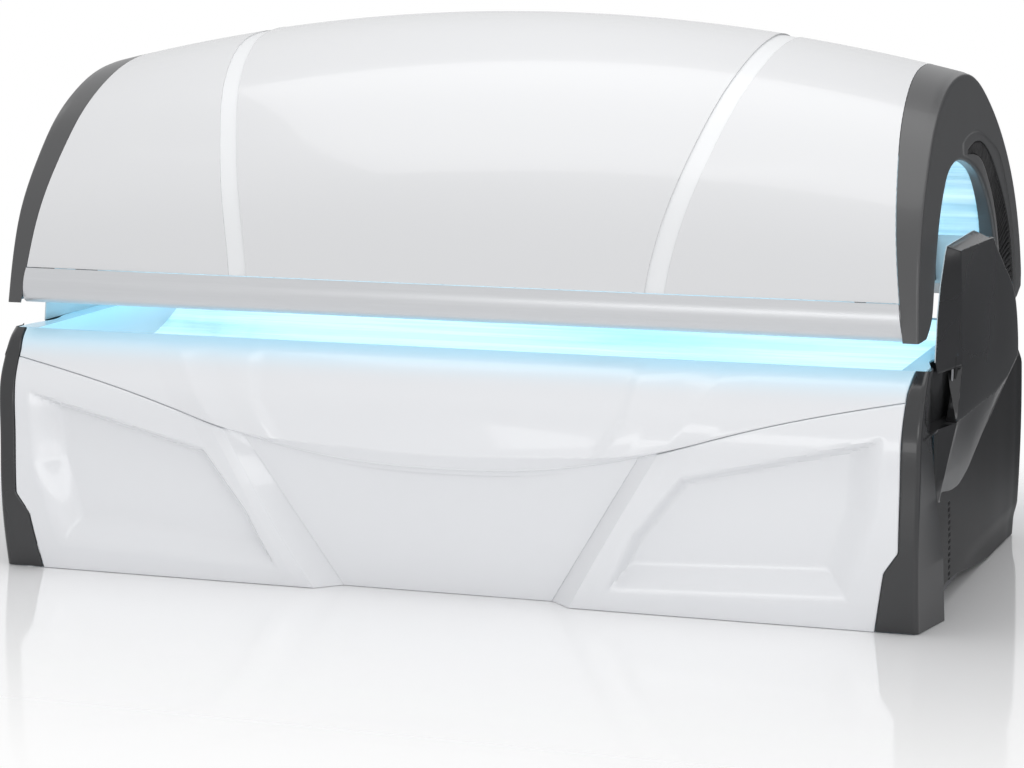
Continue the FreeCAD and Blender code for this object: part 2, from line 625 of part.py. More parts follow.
def lamp_rack(x0, x1, curve, places, depth_in, depth_out):
    """Sheet across the lamps' ends with a round hole for each holder."""
    plate = sheet_x(offset_points(curve, depth_in), depth_out - depth_in, x0, x1)
    holes = [rod_x(HOLDER_D - 10, x0 - 5, x1 + 5, y, z) for y, z, _, _ in places]
    return plate.cut(Part.makeCompound(holes))


def bed_lamp_places():
    """Axes of the bed's lamps."""
    return sample(offset_points(BED_CURVE[1:-1], -ACRYLIC - LAMP_DROP), BED_LAMPS)


def lamps(places):
    """Straight tubes between their holders."""
    half = LAMP_LENGTH / 2
    tubes = [rod_x(LAMP_D, -half, half, y, z) for y, z, _, _ in places]
    return Part.makeCompound(tubes)


def lamp_holders(places):
    """A round holder on each end of each lamp."""
    holders = []
    for y, z, _, _ in places:
        for side in (-1, 1):
            start = side * (LAMP_LENGTH / 2 + RUN_GAP)
            low = min(start, start + side * HOLDER_LENGTH)
            holders.append(rod_x(HOLDER_D, low, low + HOLDER_LENGTH, y, z))
    return Part.makeCompound(holders)


def bed_lamp_racks():
    """Two racks under the bed that hold the lamp holders and stand on the frame."""
    places = bed_lamp_places()
    rack = lamp_rack(RACK_X, RACK_X + SHEET, BED_CURVE[1:-1], places, -ACRYLIC - 6, -ACRYLIC - 74)
    low = FRAME_Z + FRAME_TUBE + RUN_GAP
    legs = [box(RACK_X, RACK_X + SHEET, y, y + 60, low + 2 + RUN_GAP, 430) for y in (-400, 60)]
    rack = rack.fuse(legs)
    return Part.makeCompound([rack, mirrored(rack)])


def bed_reflector():
    """Curved bright sheet under the bed's lamps."""
    curve = offset_points(BED_CURVE[1:-1], -ACRYLIC - REFLECTOR_DROP)
    return sheet_x(curve, -1.5, -RACK_X + RUN_GAP, RACK_X - RUN_GAP)


def fan_frame(x):
    """Square fan housing with a round duct and a motor hub on four spokes."""
    size = FAN_D + 16
    y1 = BASE_BACK - SHEET - RUN_GAP
    y0 = y1 - 50
    frame = box(x - size / 2, x + size / 2, y0, y1, FAN_Z - size / 2, FAN_Z + size / 2)
    frame = frame.cut(Part.makeCylinder(FAN_D / 2 + 2, 80, V(x, y0 - 10, FAN_Z), V(0, 1, 0)))
    hub = Part.makeCylinder(30, 10, V(x, y0, FAN_Z), V(0, 1, 0))
    spokes = [box(x - FAN_D / 2 - 4, x + FAN_D / 2 + 4, y0, y0 + 5, FAN_Z - 3, FAN_Z + 3)]
    spokes.append(box(x - 3, x + 3, y0, y0 + 5, FAN_Z - FAN_D / 2 - 4, FAN_Z + FAN_D / 2 + 4))
    shaft = Part.makeCylinder(4, 34, V(x, y0, FAN_Z), V(0, 1, 0))
    feet_low = FRAME_Z + FRAME_TUBE + RUN_GAP
    foot = box(x - size / 2, x + size / 2, y1 - 30, y1, feet_low, FAN_Z - size / 2)
    return frame.fuse([hub, shaft, foot] + spokes)


def fan_impeller(x):
    """Impeller with twisted blades on a bored hub."""
    y0 = BASE_BACK - SHEET - RUN_GAP - 50
    hub = Part.makeCylinder(32, 26, V(x, y0 + 13, FAN_Z), V(0, 1, 0))
    blades = []
    for i in range(FAN_BLADES):
        turn = 360.0 * i / FAN_BLADES
        root = Part.makePolygon([V(25, -9, -10), V(25, -6, -10), V(25, 9, 10), V(25, 6, 10), V(25, -9, -10)])
        tip = Part.makePolygon([V(86, -6, -24), V(86, -3, -24), V(86, 6, 24), V(86, 3, 24), V(86, -6, -24)])
        blade = Part.makeLoft([root, tip], True, True)
        blade.rotate(V(0, 0, 0), V(0, 1, 0), turn)
        blade.translate(V(x, y0 + 26, FAN_Z))
        blades.append(blade)
    return hub.fuse(blades).cut(Part.makeCylinder(4.05, 60, V(x, y0, FAN_Z), V(0, 1, 0)))


def power_inlet():
    """Inlet gland for the supply cable, low on the back panel."""
    y = BASE_BACK + RUN_GAP
    x, z = INLET
    collar = Part.makeCylinder(22, 14, V(x, y, z), V(0, 1, 0))
    body = collar.fuse(Part.makeCylinder(15, 30, V(x, y, z), V(0, 1, 0)))
    return body.cut(Part.makeCylinder(8, 26, V(x, y + 10, z), V(0, 1, 0)))


def stop_pad():
    """Right rubber pad on the deck under the hinge bracket's nose."""
    y, z = PIVOT
    return box(BED_HALF + 1, BRACKET_X + BRACKET + 2, y - 66, y - 42, BASE_TOP, z - 28 - RUN_GAP)


# ---------------------------------------------------------------- canopy
def canopy_section(x, inset):
    """Outline (y, z) of the canopy's outside at x, moved inward by the inset."""
    swell = 1 + CANOPY_SWELL * (1 - (x / HALF_LENGTH) ** 2)
    points = [(y, CANOPY_FRONT_LIP + (z - CANOPY_FRONT_LIP) * swell) for y, z in CANOPY_PROFILE]
    return offset_points(points, -inset)


def canopy_wire(x, inset, skirt):
    """Closed section of the canopy at x, closed below by a skirt."""
    points = [V(x, y, z) for y, z in canopy_section(x, inset)]
    low = CANOPY_FRONT_LIP - skirt
    corners = [points[-1], V(x, points[-1].y, low), V(x, points[0].y, low), points[0]]
    lines = [Part.makeLine(a, b) for a, b in zip(corners, corners[1:])]
    return Part.Wire([spline(points)] + lines)


def canopy_block(inset, skirt, x0=-HALF_LENGTH, x1=HALF_LENGTH, count=5):
    """Filled canopy between two stations."""
    stations = [x0 + (x1 - x0) * i / (count - 1) for i in range(count)]
    return Part.makeLoft([canopy_wire(x, inset, skirt) for x in stations], True, False)


def ring_side(x_foot):
    """Everything outboard of the leaning seam plane through x_foot at the lip."""
    lean = RING_SEAM_LEAN / (RING_CROWN - CANOPY_FRONT_LIP)
    low = x_foot + lean * (CANOPY_FRONT_LIP - 400)
    high = x_foot - lean * (1500 - CANOPY_FRONT_LIP)
    return prism_y([(low, 400), (OUTBOARD, 400), (OUTBOARD, 1500), (high, 1500)], -900, 900)


def seam_x(z, side):
    """X of a seam strip's edge at a height: side -1 is its inner edge, 1 its outer edge."""
    share = max(0.0, min(1.0, (z - SHELL_FOOT) / (1310 - SHELL_FOOT)))
    centre = SEAM_FOOT_X + (SEAM_TOP_X - SEAM_FOOT_X) * share ** 1.35
    return centre + side * SEAM_STRIP / 2


def seam_outline(side, shift):
    """Front outline (x, z) of one edge of a seam strip, from below the lip to above the crown."""
    heights = (500, 750, 850, 950, 1050, 1150, 1250, 1310, 1500)
    return [(seam_x(z, side) + shift, z) for z in heights]


def centre_area(side, shift):
    """Block between the two seam strips' edges."""
    right = seam_outline(side, shift)
    left = [(-x, z) for x, z in right[::-1]]
    return prism_y(right + left, -900, 900)


def side_area():
    """Block outboard of the right seam strip and inboard of the ring."""
    inner = seam_outline(1, SEAM / 2)
    area = prism_y(inner + [(OUTBOARD, 1500), (OUTBOARD, 500)], -900, 900)
    return area.cut(ring_side(RING_SEAM_FOOT - SEAM))


def shell_trim():
    """Block that keeps the shell above the trim at the front and above the rear edge behind."""
    front = box(-OUTBOARD, OUTBOARD, -900, 0, SHELL_FOOT, 1500)
    return front.fuse(box(-OUTBOARD, OUTBOARD, 0, 900, SHELL_BACK_FOOT, 1500))


def tunnel_line(offset, whole=False):
    """The tunnel's opening line moved outward; the whole line also runs down to both lips."""
    line = offset_points([OPENING_FRONT] + OPENING + [OPENING_BACK], offset)
    return line if whole else line[1:-1]


def under_line(points, x0, x1):
    """Block below a smooth arched (y, z) line."""
    line = [V(x0, y, z) for y, z in points]
    corners = [line[-1], V(x0, line[-1].y, 400), V(x0, line[0].y, 400), line[0]]
    edges = [spline(line)] + [Part.makeLine(a, b) for a, b in zip(corners, corners[1:])]
    return Part.Face(Part.Wire(edges)).extrude(V(x1 - x0, 0, 0))


def end_ring(block_inner):
    """Right end ring: dark hoop that closes the canopy's end around the tunnel's opening."""
    x1 = HALF_LENGTH - RING_CHAMFER
    body = canopy_block(0, 25, HALF_LENGTH - 130, x1, 3)
    cap = Part.makeLoft([canopy_wire(x1, 0, 25), canopy_wire(HALF_LENGTH, RING_CHAMFER, 25)], True, True)
    foot = [(-800, CANOPY_FRONT_LIP), OPENING_FRONT, OPENING_BACK]
    foot += CANOPY_FOOT[::-1] + [(800, 632), (800, 300), (-800, 300)]
    wall = x1 - 12
    hoop = body.fuse(cap).cut(prism_x(foot, INBOARD, OUTBOARD)).common(ring_side(RING_SEAM_FOOT))
    hollow = block_inner.cut(under_line(tunnel_line(RING_WALL, True), INBOARD, OUTBOARD))
    hollow = hollow.common(box(INBOARD, wall, -900, 900, 300, 1500))
    ring = hoop.cut(under_line(tunnel_line(0, True), INBOARD, OUTBOARD)).cut(hollow)
    return ring.cut(vent_area(0, HALF_LENGTH - VENT_RECESS, OUTBOARD))


def vent_area(inset, x0, x1):
    """Crescent block of the vent band, between its inner and outer edges."""
    inner = [V(x0, y, z) for y, z in offset_points(VENT_INNER, inset)]
    outer = [V(x0, y, z) for y, z in offset_points(VENT_OUTER, -inset)]
    ends = [Part.makeLine(inner[-1], outer[-1]), Part.makeLine(outer[0], inner[0])]
    wire = Part.Wire(Part.__sortEdges__([spline(inner), spline(outer)] + ends))
    return Part.Face(wire).extrude(V(x1 - x0, 0, 0))


def vent_grille():
    """Right vent grille: a crescent base with a fan of radial slats."""
    x0 = HALF_LENGTH - VENT_RECESS
    base = vent_area(RUN_GAP, x0, x0 + 2)
    inner = sample(VENT_INNER, VENT_SLATS, 10)
    outer = sample(VENT_OUTER, VENT_SLATS, 10)
    slats = []
    for (y0, z0, _, _), (y1, z1, _, _) in zip(inner, outer):
        length = math.hypot(y1 - y0, z1 - z0)
        ty, tz = (y1 - y0) / length, (z1 - z0) / length
        y0, z0, y1, z1 = y0 + 3 * ty, z0 + 3 * tz, y1 - 4 * ty, z1 - 4 * tz
        ny, nz = -tz * VENT_SLAT / 2, ty * VENT_SLAT / 2
        outline = [(y0 - ny, z0 - nz), (y1 - ny, z1 - nz), (y1 + ny, z1 + nz), (y0 + ny, z0 + nz)]
        slats.append(prism_x(outline, x0 + 1, x0 + VENT_RECESS - 1.5))
    ends = box(x0, HALF_LENGTH, VENT_INNER[0][0] + 6, 900, CANOPY_FRONT_LIP + RUN_GAP, RING_CROWN)
    return base.fuse(slats).common(vent_area(RUN_GAP, x0, HALF_LENGTH)).common(ends)


def between_rings(shape, gap):
    """The piece cut to length between the two end rings."""
    beyond = ring_side(RING_SEAM_FOOT - gap)
    return shape.cut(beyond).cut(mirrored(beyond))


def front_trim():
    """Satin handle strip along the whole front lip."""
    return between_rings(sheet_x(TRIM_LINE, TRIM, -HALF_LENGTH, HALF_LENGTH), SEAM)


def lip_profile():
    """Extruded profile behind the trim: ties the trim, the shell and the acrylic's front edge."""
    edge_y, edge_z = tunnel_line(ACRYLIC_SHADOW)[0]
    line = offset_points(TRIM_LINE, TRIM + RUN_GAP) + LIP_SLOPE
    line.append((edge_y, edge_z - 4 * RUN_GAP))
    profile = sheet_x(line, SKIN, -HALF_LENGTH, HALF_LENGTH, smooth=False)
    clear = sheet_x(TRIM_LINE, TRIM + RUN_GAP, -HALF_LENGTH, HALF_LENGTH)
    return between_rings(profile.cut(clear), RUN_GAP)


def canopy_acrylic():
    """Clear curved sheet under the canopy's lamps."""
    half = CANOPY_ACRYLIC_HALF
    sheet = sheet_x(tunnel_line(ACRYLIC_SHADOW), CANOPY_ACRYLIC, -half, half)
    return sheet.cut(under_line(tunnel_line(RING_WALL + RUN_GAP, True), -HALF_LENGTH, HALF_LENGTH))


def canopy_lamp_places():
    """Axes of the canopy's lamps."""
    return sample(tunnel_line(ACRYLIC_BACK + LAMP_DROP), CANOPY_LAMPS, 40)


def canopy_reflector():
    """Curved bright sheet behind the canopy's lamps."""
    return sheet_x(tunnel_line(ACRYLIC_BACK + REFLECTOR_DROP), 1.5, -RACK_X + RUN_GAP, RACK_X - RUN_GAP)


def rear_edge_profile():
    """Folded profile that closes the canopy's rear edge from below."""
    profile = between_rings(sheet_x(REAR_EDGE, -SHEET, -HALF_LENGTH, HALF_LENGTH, smooth=False), SEAM)
    notch = box(BRACKET_X - SEAM, HALF_LENGTH, REAR_EDGE[-1][0] - 5, 490, 600, 800)
    return profile.cut(notch).cut(mirrored(notch))


def canopy_rib(x0, x1, depth):
    """Rib between the shells and the line at the given depth behind the acrylic."""
    section = Part.Face(canopy_wire((x0 + x1) / 2, SKIN + RUN_GAP, 60))
    section.translate(V(x0 - (x0 + x1) / 2, 0, 0))
    rib = section.extrude(V(x1 - x0, 0, 0)).cut(under_line(tunnel_line(ACRYLIC_BACK + depth), x0 - 5, x1 + 5))
    guard = offset_points(REAR_EDGE, -SHEET - RUN_GAP)
    first_y, first_z = guard[0]
    last_y, last_z = guard[-1]
    low = [(-900, 500), (900, 500), (900, first_z + SEAM), (first_y, first_z + SEAM)] + guard
    front = SHELL_FOOT + 6
    low += [(last_y, last_z + SEAM), (REAR_EDGE[-1][0] - SEAM, last_z + SEAM)]
    low += [(280, 740), (-580, 740), (-600, front), (-900, front)]
    return rib.cut(prism_x(low, x0 - 5, x1 + 5))


def canopy_frame():
    """Canopy frame: profiled ribs, a front rail, a crown rail and the rear beam."""
    places = canopy_lamp_places()
    end_rib = canopy_rib(RACK_X, RACK_X + SHEET, RUN_GAP)
    holes = [rod_x(HOLDER_D - 10, RACK_X - 5, RACK_X + 10, y, z) for y, z, _, _ in places]
    end_rib = end_rib.cut(Part.makeCompound(holes))
    pieces = [end_rib, mirrored(end_rib)]
    for x in RIB_X:
        pieces.append(canopy_rib(x - SHEET / 2, x + SHEET / 2, REFLECTOR_DROP + 1.5 + RUN_GAP))
    pieces.append(box(-BRACKET_X, BRACKET_X, 420, 480, 676, 716))
    pieces.append(box(-RACK_X, RACK_X, -300, -260, 1160, 1190))
    pieces.append(box(-RACK_X, RACK_X, -694, -676, SHELL_FOOT + 50, SHELL_FOOT + 90))
    return pieces[0].fuse(pieces[1:])


def hinge_bracket():
    """Right hinge bracket: steel plate from the rear beam forward to the pivot."""
    y, z = PIVOT
    x0 = BRACKET_X
    arm = [(y - 70, z - 28), (y, z - 28), (400, 672), (480, 672), (480, 716), (400, 716)]
    arm += [(y, z + 28), (y - 30, z + 22)]
    plate = prism_x(arm, x0 + RUN_GAP, x0 + BRACKET)
    boss = rod_x(56, x0, x0 + BRACKET + 8, y, z)
    return plate.fuse(boss).cut(rod_x(PIN_D, x0 - 10, x0 + 60, y, z))


def pivot_pin():
    """Right hinge pin: fixed in the bracket, turning in the post's bush."""
    y, z = PIVOT
    x1 = COVER_X + RUN_GAP + 22
    pin = rod_x(PIN_D, BRACKET_X, x1 + 6, y, z)
    collar = rod_x(PIN_D + 12, BRACKET_X - 6, BRACKET_X, y, z)
    return pin.fuse(collar)


# ---------------------------------------------------------------- controls
def on_lip(shape):
    """Move a piece drawn flat at the origin (face up) onto the slanted inner lip, facing the user."""
    (y0, z0), (y1, z1) = LIP_SLOPE
    shape.rotate(V(0, 0, 0), V(1, 0, 0), math.degrees(math.atan2(z1 - z0, y1 - y0)) + 180)
    shape.translate(V(PANEL_X, (y0 + y1) / 2, (z0 + z1) / 2))
    return shape


def control_panel():
    """Control panel with a bore for each button."""
    length, width, depth = PANEL_SIZE
    plate = box(-length / 2, length / 2, -width / 2, width / 2, RUN_GAP, depth)
    for i in range(BUTTONS):
        x = (i - (BUTTONS - 1) / 2) * BUTTON_PITCH
        plate = plate.cut(Part.makeCylinder(BUTTON_D / 2 + 0.4, depth, V(x, 0, 2.5)))
    return on_lip(plate)


def button(index):
    """One push button in its bore."""
    x = (index - (BUTTONS - 1) / 2) * BUTTON_PITCH
    base = 2.5 + BUTTON_TRAVEL + 0.2
    return on_lip(Part.makeCylinder(BUTTON_D / 2, PANEL_SIZE[2] + 2.2 - base, V(x, 0, base)))


# ---------------------------------------------------------------- build
def canopy_shells():
    """The white shells and the light strips between them."""
    hollow = canopy_block(SKIN, 80)
    trim = shell_trim()
    plain = canopy_block(0, 25).cut(hollow).common(trim)
    proud = canopy_block(-CENTRE_PROUD, 25).cut(hollow).common(trim)
    low = canopy_block(2, 25).cut(canopy_block(SKIN + RUN_GAP + 2, 80)).common(trim)
    base = low.common(canopy_block(SKIN + RUN_GAP, 80))
    behind = box(-OUTBOARD, OUTBOARD, 0, 900, 500, REAR_EDGE[0][1] + SEAM)
    base = base.cut(behind)
    low = low.cut(hollow.common(behind))
    low = low.common(centre_area(1, -SEAM / 2).cut(centre_area(-1, SEAM / 2)))
    base = base.common(centre_area(1, STRIP_LIP).cut(centre_area(-1, -STRIP_LIP)))
    right = box(0, OUTBOARD, -900, 900, 0, 1600)
    side = plain.common(side_area())
    seam = low.fuse(base).common(right)
    return {
        "canopy_shell_centre": proud.common(centre_area(-1, -SEAM / 2)),
        "canopy_shell_right": side,
        "canopy_shell_left": mirrored(side),
        "canopy_seam_right": seam,
        "canopy_seam_left": mirrored(seam),
    }, hollow


def pair(name, shape, nodes):
    """Store a right-hand piece and its mirror image."""
    nodes[name + "_right"] = shape
    nodes[name + "_left"] = mirrored(shape)


def build():
    """Every sub-part by its node's name."""
    nodes, hollow = canopy_shells()
    nodes["upper_front_panel"] = upper_front_panel()
    nodes["lower_panel_centre"] = lower_centre_panel()
    pair("lower_panel", lower_side_panel(), nodes)
    pair("end_cap", end_cap(), nodes)
    pair("side_housing", side_housing(), nodes)
    pair("column_cover", column_cover(), nodes)
    pair("column_inner_panel", column_inner_panel(), nodes)
    pair("end_wall", end_wall(), nodes)
    pair("pivot_post", pivot_post(), nodes)
    nodes["pivot_bushes"] = both_ends(pivot_bush())
    nodes["stop_pads"] = both_ends(stop_pad())
    pair("bed_end_frame", bed_end_frame(), nodes)
    pair("end_ring", end_ring(hollow), nodes)
    pair("vent_grille", vent_grille(), nodes)
    nodes["hinge_brackets"] = both_ends(hinge_bracket())
    nodes["pivot_pins"] = both_ends(pivot_pin())
    nodes["back_panel"] = back_panel()
    nodes["base_frame"] = base_frame()
    nodes["levelling_feet"] = levelling_feet()
    nodes["floor_tray"] = floor_tray()
    nodes["ballasts"] = ballasts()
    nodes["bed_acrylic"] = bed_acrylic()
    nodes["bed_lamps"] = lamps(bed_lamp_places())
    nodes["bed_lamp_holders"] = lamp_holders(bed_lamp_places())
    nodes["bed_lamp_racks"] = bed_lamp_racks()
    nodes["bed_reflector"] = bed_reflector()
    nodes["fan_frames"] = Part.makeCompound([fan_frame(-FAN_X), fan_frame(FAN_X)])
    nodes["fan_impeller_left"] = fan_impeller(-FAN_X)
    nodes["fan_impeller_right"] = fan_impeller(FAN_X)
    nodes["power_inlet"] = power_inlet()
    nodes["front_trim"] = front_trim()
    nodes["lip_profile"] = lip_profile()
    nodes["canopy_acrylic"] = canopy_acrylic()
    nodes["canopy_frame"] = canopy_frame()
    nodes["canopy_lamps"] = lamps(canopy_lamp_places())
    nodes["canopy_lamp_holders"] = lamp_holders(canopy_lamp_places())
    nodes["canopy_reflector"] = canopy_reflector()
    nodes["rear_edge_profile"] = rear_edge_profile()
    nodes["control_panel"] = control_panel()
    for i in range(BUTTONS):
        nodes["button_%d" % (i + 1)] = button(i)
    return nodes


def main():
    """Write one STEP file per node."""
    os.makedirs("parts", exist_ok=True)
    for name, shape in build().items():
        shape.exportStep("parts/%s.step" % name)
        limits = shape.BoundBox
        print("%-24s solids %2d valid %s  x %.0f..%.0f y %.0f..%.0f z %.0f..%.0f" % (
            name, len(shape.Solids), shape.isValid(), limits.XMin, limits.XMax, limits.YMin, limits.YMax,
            limits.ZMin, limits.ZMax))


main()
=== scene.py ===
"""Looks of a closed clamshell tanning bed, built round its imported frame.

Everything is in metres in the frame's axes: +X along the machine's length, -Y towards the user, +Z up.
"""

import json
import logging
import math
from dataclasses import dataclass, field
from enum import Enum
from typing import Callable, Iterable, Sequence

import bpy
import numpy as np
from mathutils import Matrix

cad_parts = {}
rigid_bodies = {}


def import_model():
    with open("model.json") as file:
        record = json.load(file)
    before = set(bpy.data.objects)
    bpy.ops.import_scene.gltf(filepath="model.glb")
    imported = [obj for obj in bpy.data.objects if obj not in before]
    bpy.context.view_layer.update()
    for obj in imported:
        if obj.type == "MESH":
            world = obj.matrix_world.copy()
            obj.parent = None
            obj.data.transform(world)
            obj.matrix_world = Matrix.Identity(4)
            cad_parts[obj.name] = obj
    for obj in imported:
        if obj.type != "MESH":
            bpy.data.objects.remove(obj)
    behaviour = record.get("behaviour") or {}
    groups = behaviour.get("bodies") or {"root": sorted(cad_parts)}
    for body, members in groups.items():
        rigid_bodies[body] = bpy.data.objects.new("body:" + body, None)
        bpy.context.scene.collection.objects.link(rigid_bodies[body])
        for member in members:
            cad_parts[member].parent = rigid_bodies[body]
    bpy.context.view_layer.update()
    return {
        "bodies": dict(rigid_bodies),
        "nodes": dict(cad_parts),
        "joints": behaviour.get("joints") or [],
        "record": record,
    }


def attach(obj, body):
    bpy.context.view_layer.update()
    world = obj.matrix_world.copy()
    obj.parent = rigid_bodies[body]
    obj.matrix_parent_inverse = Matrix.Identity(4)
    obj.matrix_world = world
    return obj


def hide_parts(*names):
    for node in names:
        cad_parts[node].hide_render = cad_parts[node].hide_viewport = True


log = logging.getLogger("tanning_bed")
Point = tuple[float, float]
Triple = tuple[float, float, float]
Walls = list[tuple[np.ndarray, np.ndarray]]
MM = 0.001


# ------------------------------------------------------------------ shader maths
def _operator(operation: str, swapped: bool = False) -> Callable[["Signal", "Signal | float"], "Signal"]:
    """Method of Signal that adds one Math node.

    Args:
        operation: The Math node's operation.
        swapped: Whether the signal itself is the second input.

    Returns:
        The method.
    """
    def method(self: "Signal", other: "Signal | float") -> "Signal":
        """Add the node."""
        values = (other, self) if swapped else (self, other)
        return self.graph.node("ShaderNodeMath", {"operation": operation}, dict(enumerate(values)))
    return method


class Signal:
    """A shader socket that takes part in Python arithmetic."""

    __add__, __radd__ = _operator("ADD"), _operator("ADD", True)
    __sub__, __rsub__ = _operator("SUBTRACT"), _operator("SUBTRACT", True)
    __mul__, __rmul__ = _operator("MULTIPLY"), _operator("MULTIPLY", True)
    above, power = _operator("MAXIMUM"), _operator("POWER")

    def __init__(self, graph: "Graph", socket: bpy.types.NodeSocket) -> None:
        """Wrap one output socket of a graph."""
        self.graph = graph
        self.socket = socket

    def absolute(self) -> "Signal":
        """Size without sign."""
        return self.graph.node("ShaderNodeMath", {"operation": "ABSOLUTE"}, {0: self})

    def rise(self, low: float, high: float) -> "Signal":
        """Smooth step that is 0 below the low value and 1 above the high value."""
        settings = {"interpolation_type": "SMOOTHSTEP"}
        return self.graph.node("ShaderNodeMapRange", settings, {0: self, 1: low, 2: high, 3: 0.0, 4: 1.0})


class Graph:
    """Node tree of a material or of the world."""

    def __init__(self, tree: bpy.types.NodeTree) -> None:
        """Work on a tree."""
        self.tree = tree

    def put(self, socket: bpy.types.NodeSocket, value: object) -> None:
        """Set a socket's value, or link a signal to it."""
        if isinstance(value, Signal):
            self.tree.links.new(value.socket, socket)
        else:
            socket.default_value = value

    def node(self, kind: str, settings: dict | None = None, values: dict | None = None,
             out: int | str = 0) -> Signal:
        """Add any node.

        Args:
            kind: The node's type.
            settings: Attributes that are set first.
            values: Values or links by socket name or number.
            out: The output that is handed back.

        Returns:
            The chosen output.
        """
        made = self.tree.nodes.new(kind)
        for key, value in (settings or {}).items():
            setattr(made, key, value)
        for key, value in (values or {}).items():
            self.put(made.inputs[key], value)
        return Signal(self, made.outputs[out])

    def mix(self, share: Signal | float, first: object, second: object) -> Signal:
        """Blend two colours."""
        values = {0: share, 6: first, 7: second}
        return self.node("ShaderNodeMix", {"data_type": "RGBA"}, values, 2)

    def part(self, where: Signal, name: str) -> Signal:
        """X, Y or Z of a place or direction."""
        return self.node("ShaderNodeSeparateXYZ", values={0: where}, out=name)


class Surface(Graph):
    """Node tree of one material, which ends in a Principled shader."""

    def __init__(self, name: str) -> None:
        """Start the material."""
        self.material = bpy.data.materials.new(name)
        self.material.use_nodes = True
        super().__init__(self.material.node_tree)
        self.tree.nodes.clear()
        output = self.tree.nodes.new("ShaderNodeOutputMaterial")
        self.shader = self.tree.nodes.new("ShaderNodeBsdfPrincipled")
        self.tree.links.new(self.shader.outputs[0], output.inputs[0])

    def place(self) -> Signal:
        """Object coordinates."""
        return self.node("ShaderNodeTexCoord", out="Object")

    def axis(self, name: str) -> Signal:
        """One of the object coordinates: X, Y or Z."""
        return self.part(self.place(), name)

    def noise(self, scale: float, detail: float = 2.0, stretch: Triple = (1, 1, 1),
              rough: float = 0.5) -> Signal:
        """Noise of a scale per metre, stretched along the axes, from 0 to 1."""
        where = self.node("ShaderNodeMapping", values={"Vector": self.place(), "Scale": stretch})
        values = {"Vector": where, "Scale": scale, "Detail": detail, "Roughness": rough}
        return self.node("ShaderNodeTexNoise", values=values)

    def bump(self, height: Signal, depth: float) -> None:
        """Feed a height in metres times the depth into the shader's Normal."""
        values = {"Height": height, "Distance": depth, "Strength": 1.0}
        self.put(self.shader.inputs["Normal"], self.node("ShaderNodeBump", values=values))

    def finish(self, **values: object) -> bpy.types.Material:
        """Set the shader's sockets by name, with underscores for spaces, and hand the material back."""
        for key, value in values.items():
            self.put(self.shader.inputs[key.replace("_", " ")], value)
        return self.material


def rgba(colour: Triple) -> tuple[float, float, float, float]:
    """Colour with full alpha."""
    return (*colour, 1.0)


@dataclass(frozen=True)
class Finish:
    """Painted, moulded or metal surface with slight unevenness."""

    name: str
    colour: Triple
    roughness: float
    metallic: float = 0.0
    coat: float = 0.0
    uneven: float = 0.04
    uneven_scale: float = 3.0
    grain: float = 0.0
    grain_scale: float = 900.0
    stretch: tuple[float, float, float] = (1.0, 1.0, 1.0)

    def material(self) -> bpy.types.Material:
        """Build the material.

        Colour is the base colour times 1 minus twice uneven, blended to the base colour by slow
        noise; roughness varies with the same noise; a fine noise gives the grain's bump.
        """
        surface = Surface(self.name)
        slow = surface.noise(self.uneven_scale, 3.0, self.stretch)
        dark = tuple(c * (1 - 2 * self.uneven) for c in self.colour)
        plain = surface.mix(slow, rgba(dark), rgba(self.colour))
        if self.grain:
            surface.bump(surface.noise(self.grain_scale, 2.0, self.stretch), self.grain)
        return surface.finish(Roughness=self.roughness * (0.85 + 0.3 * slow), Metallic=self.metallic,
                              Coat_Weight=self.coat, Coat_Roughness=0.04, **self.colours(surface, plain))

    def colours(self, surface: Surface, plain: Signal) -> dict[str, object]:
        """Values of the shader's colour sockets, from the clouded base colour."""
        return {"Base_Color": plain}


@dataclass(frozen=True)
class LitTopFinish(Finish):
    """White moulding whose upper rim has the bed's light painted on."""

    glow: Triple = (0.22, 0.66, 0.90)
    glow_from: float = 0.49
    glow_to: float = 0.592
    strength: float = 0.26

    def colours(self, surface: Surface, plain: Signal) -> dict[str, object]:
        """Plain colour below; a painted tint and a faint painted glow of the bed's light that rise with height.
        """
        # Painted light: the bed's glow on the upper rim, painted into the base colour and the emission.
        lit = surface.axis("Z").rise(self.glow_from, self.glow_to).power(2.2)
        painted_light_tint = tuple(0.45 + 0.55 * c for c in self.glow)
        return {"Base_Color": surface.mix(lit * 0.6, plain, rgba(painted_light_tint)),
                "Emission_Color": surface.mix(lit, rgba((0, 0, 0)), rgba(self.glow)),
                "Emission_Strength": self.strength}


@dataclass(frozen=True)
class AcrylicFinish:
    """Clear acrylic sheet with the lamps' light through it painted on as a glow, brightest towards its edge."""

    name: str
    colour: Triple
    alpha: float
    glow: Triple
    strength: float
    edge_y: float
    edge_reach: float = 0.05

    def material(self) -> bpy.types.Material:
        """Build the material.

        The painted glow is a slow streaky noise along X plus a rise towards the front edge; alpha
        rises with the glow.
        """
        surface = Surface(self.name)
        streak = surface.noise(2.6, 4.0, (0.30, 2.6, 2.6), 0.55)
        fine = surface.noise(8.0, 3.0, (0.12, 4.0, 4.0), 0.55)
        edge = 1.0 - (surface.axis("Y") - self.edge_y).absolute().rise(0.0, self.edge_reach)
        # Painted glow: the bright streaks and the brighter edge stand in for the lamps' light through the
        # sheet.
        light = streak.rise(0.42, 0.62) * 0.55 + fine.rise(0.44, 0.62) * 0.35 + edge * 0.35
        emission = surface.mix(light, rgba(self.glow), rgba((0.80, 0.95, 1.0)))
        surface.bump(streak, 0.004)
        return surface.finish(Base_Color=rgba(self.colour), Roughness=0.05, Coat_Weight=0.6,
                              Alpha=self.alpha + 0.35 * light, Emission_Color=emission,
                              Emission_Strength=self.strength)


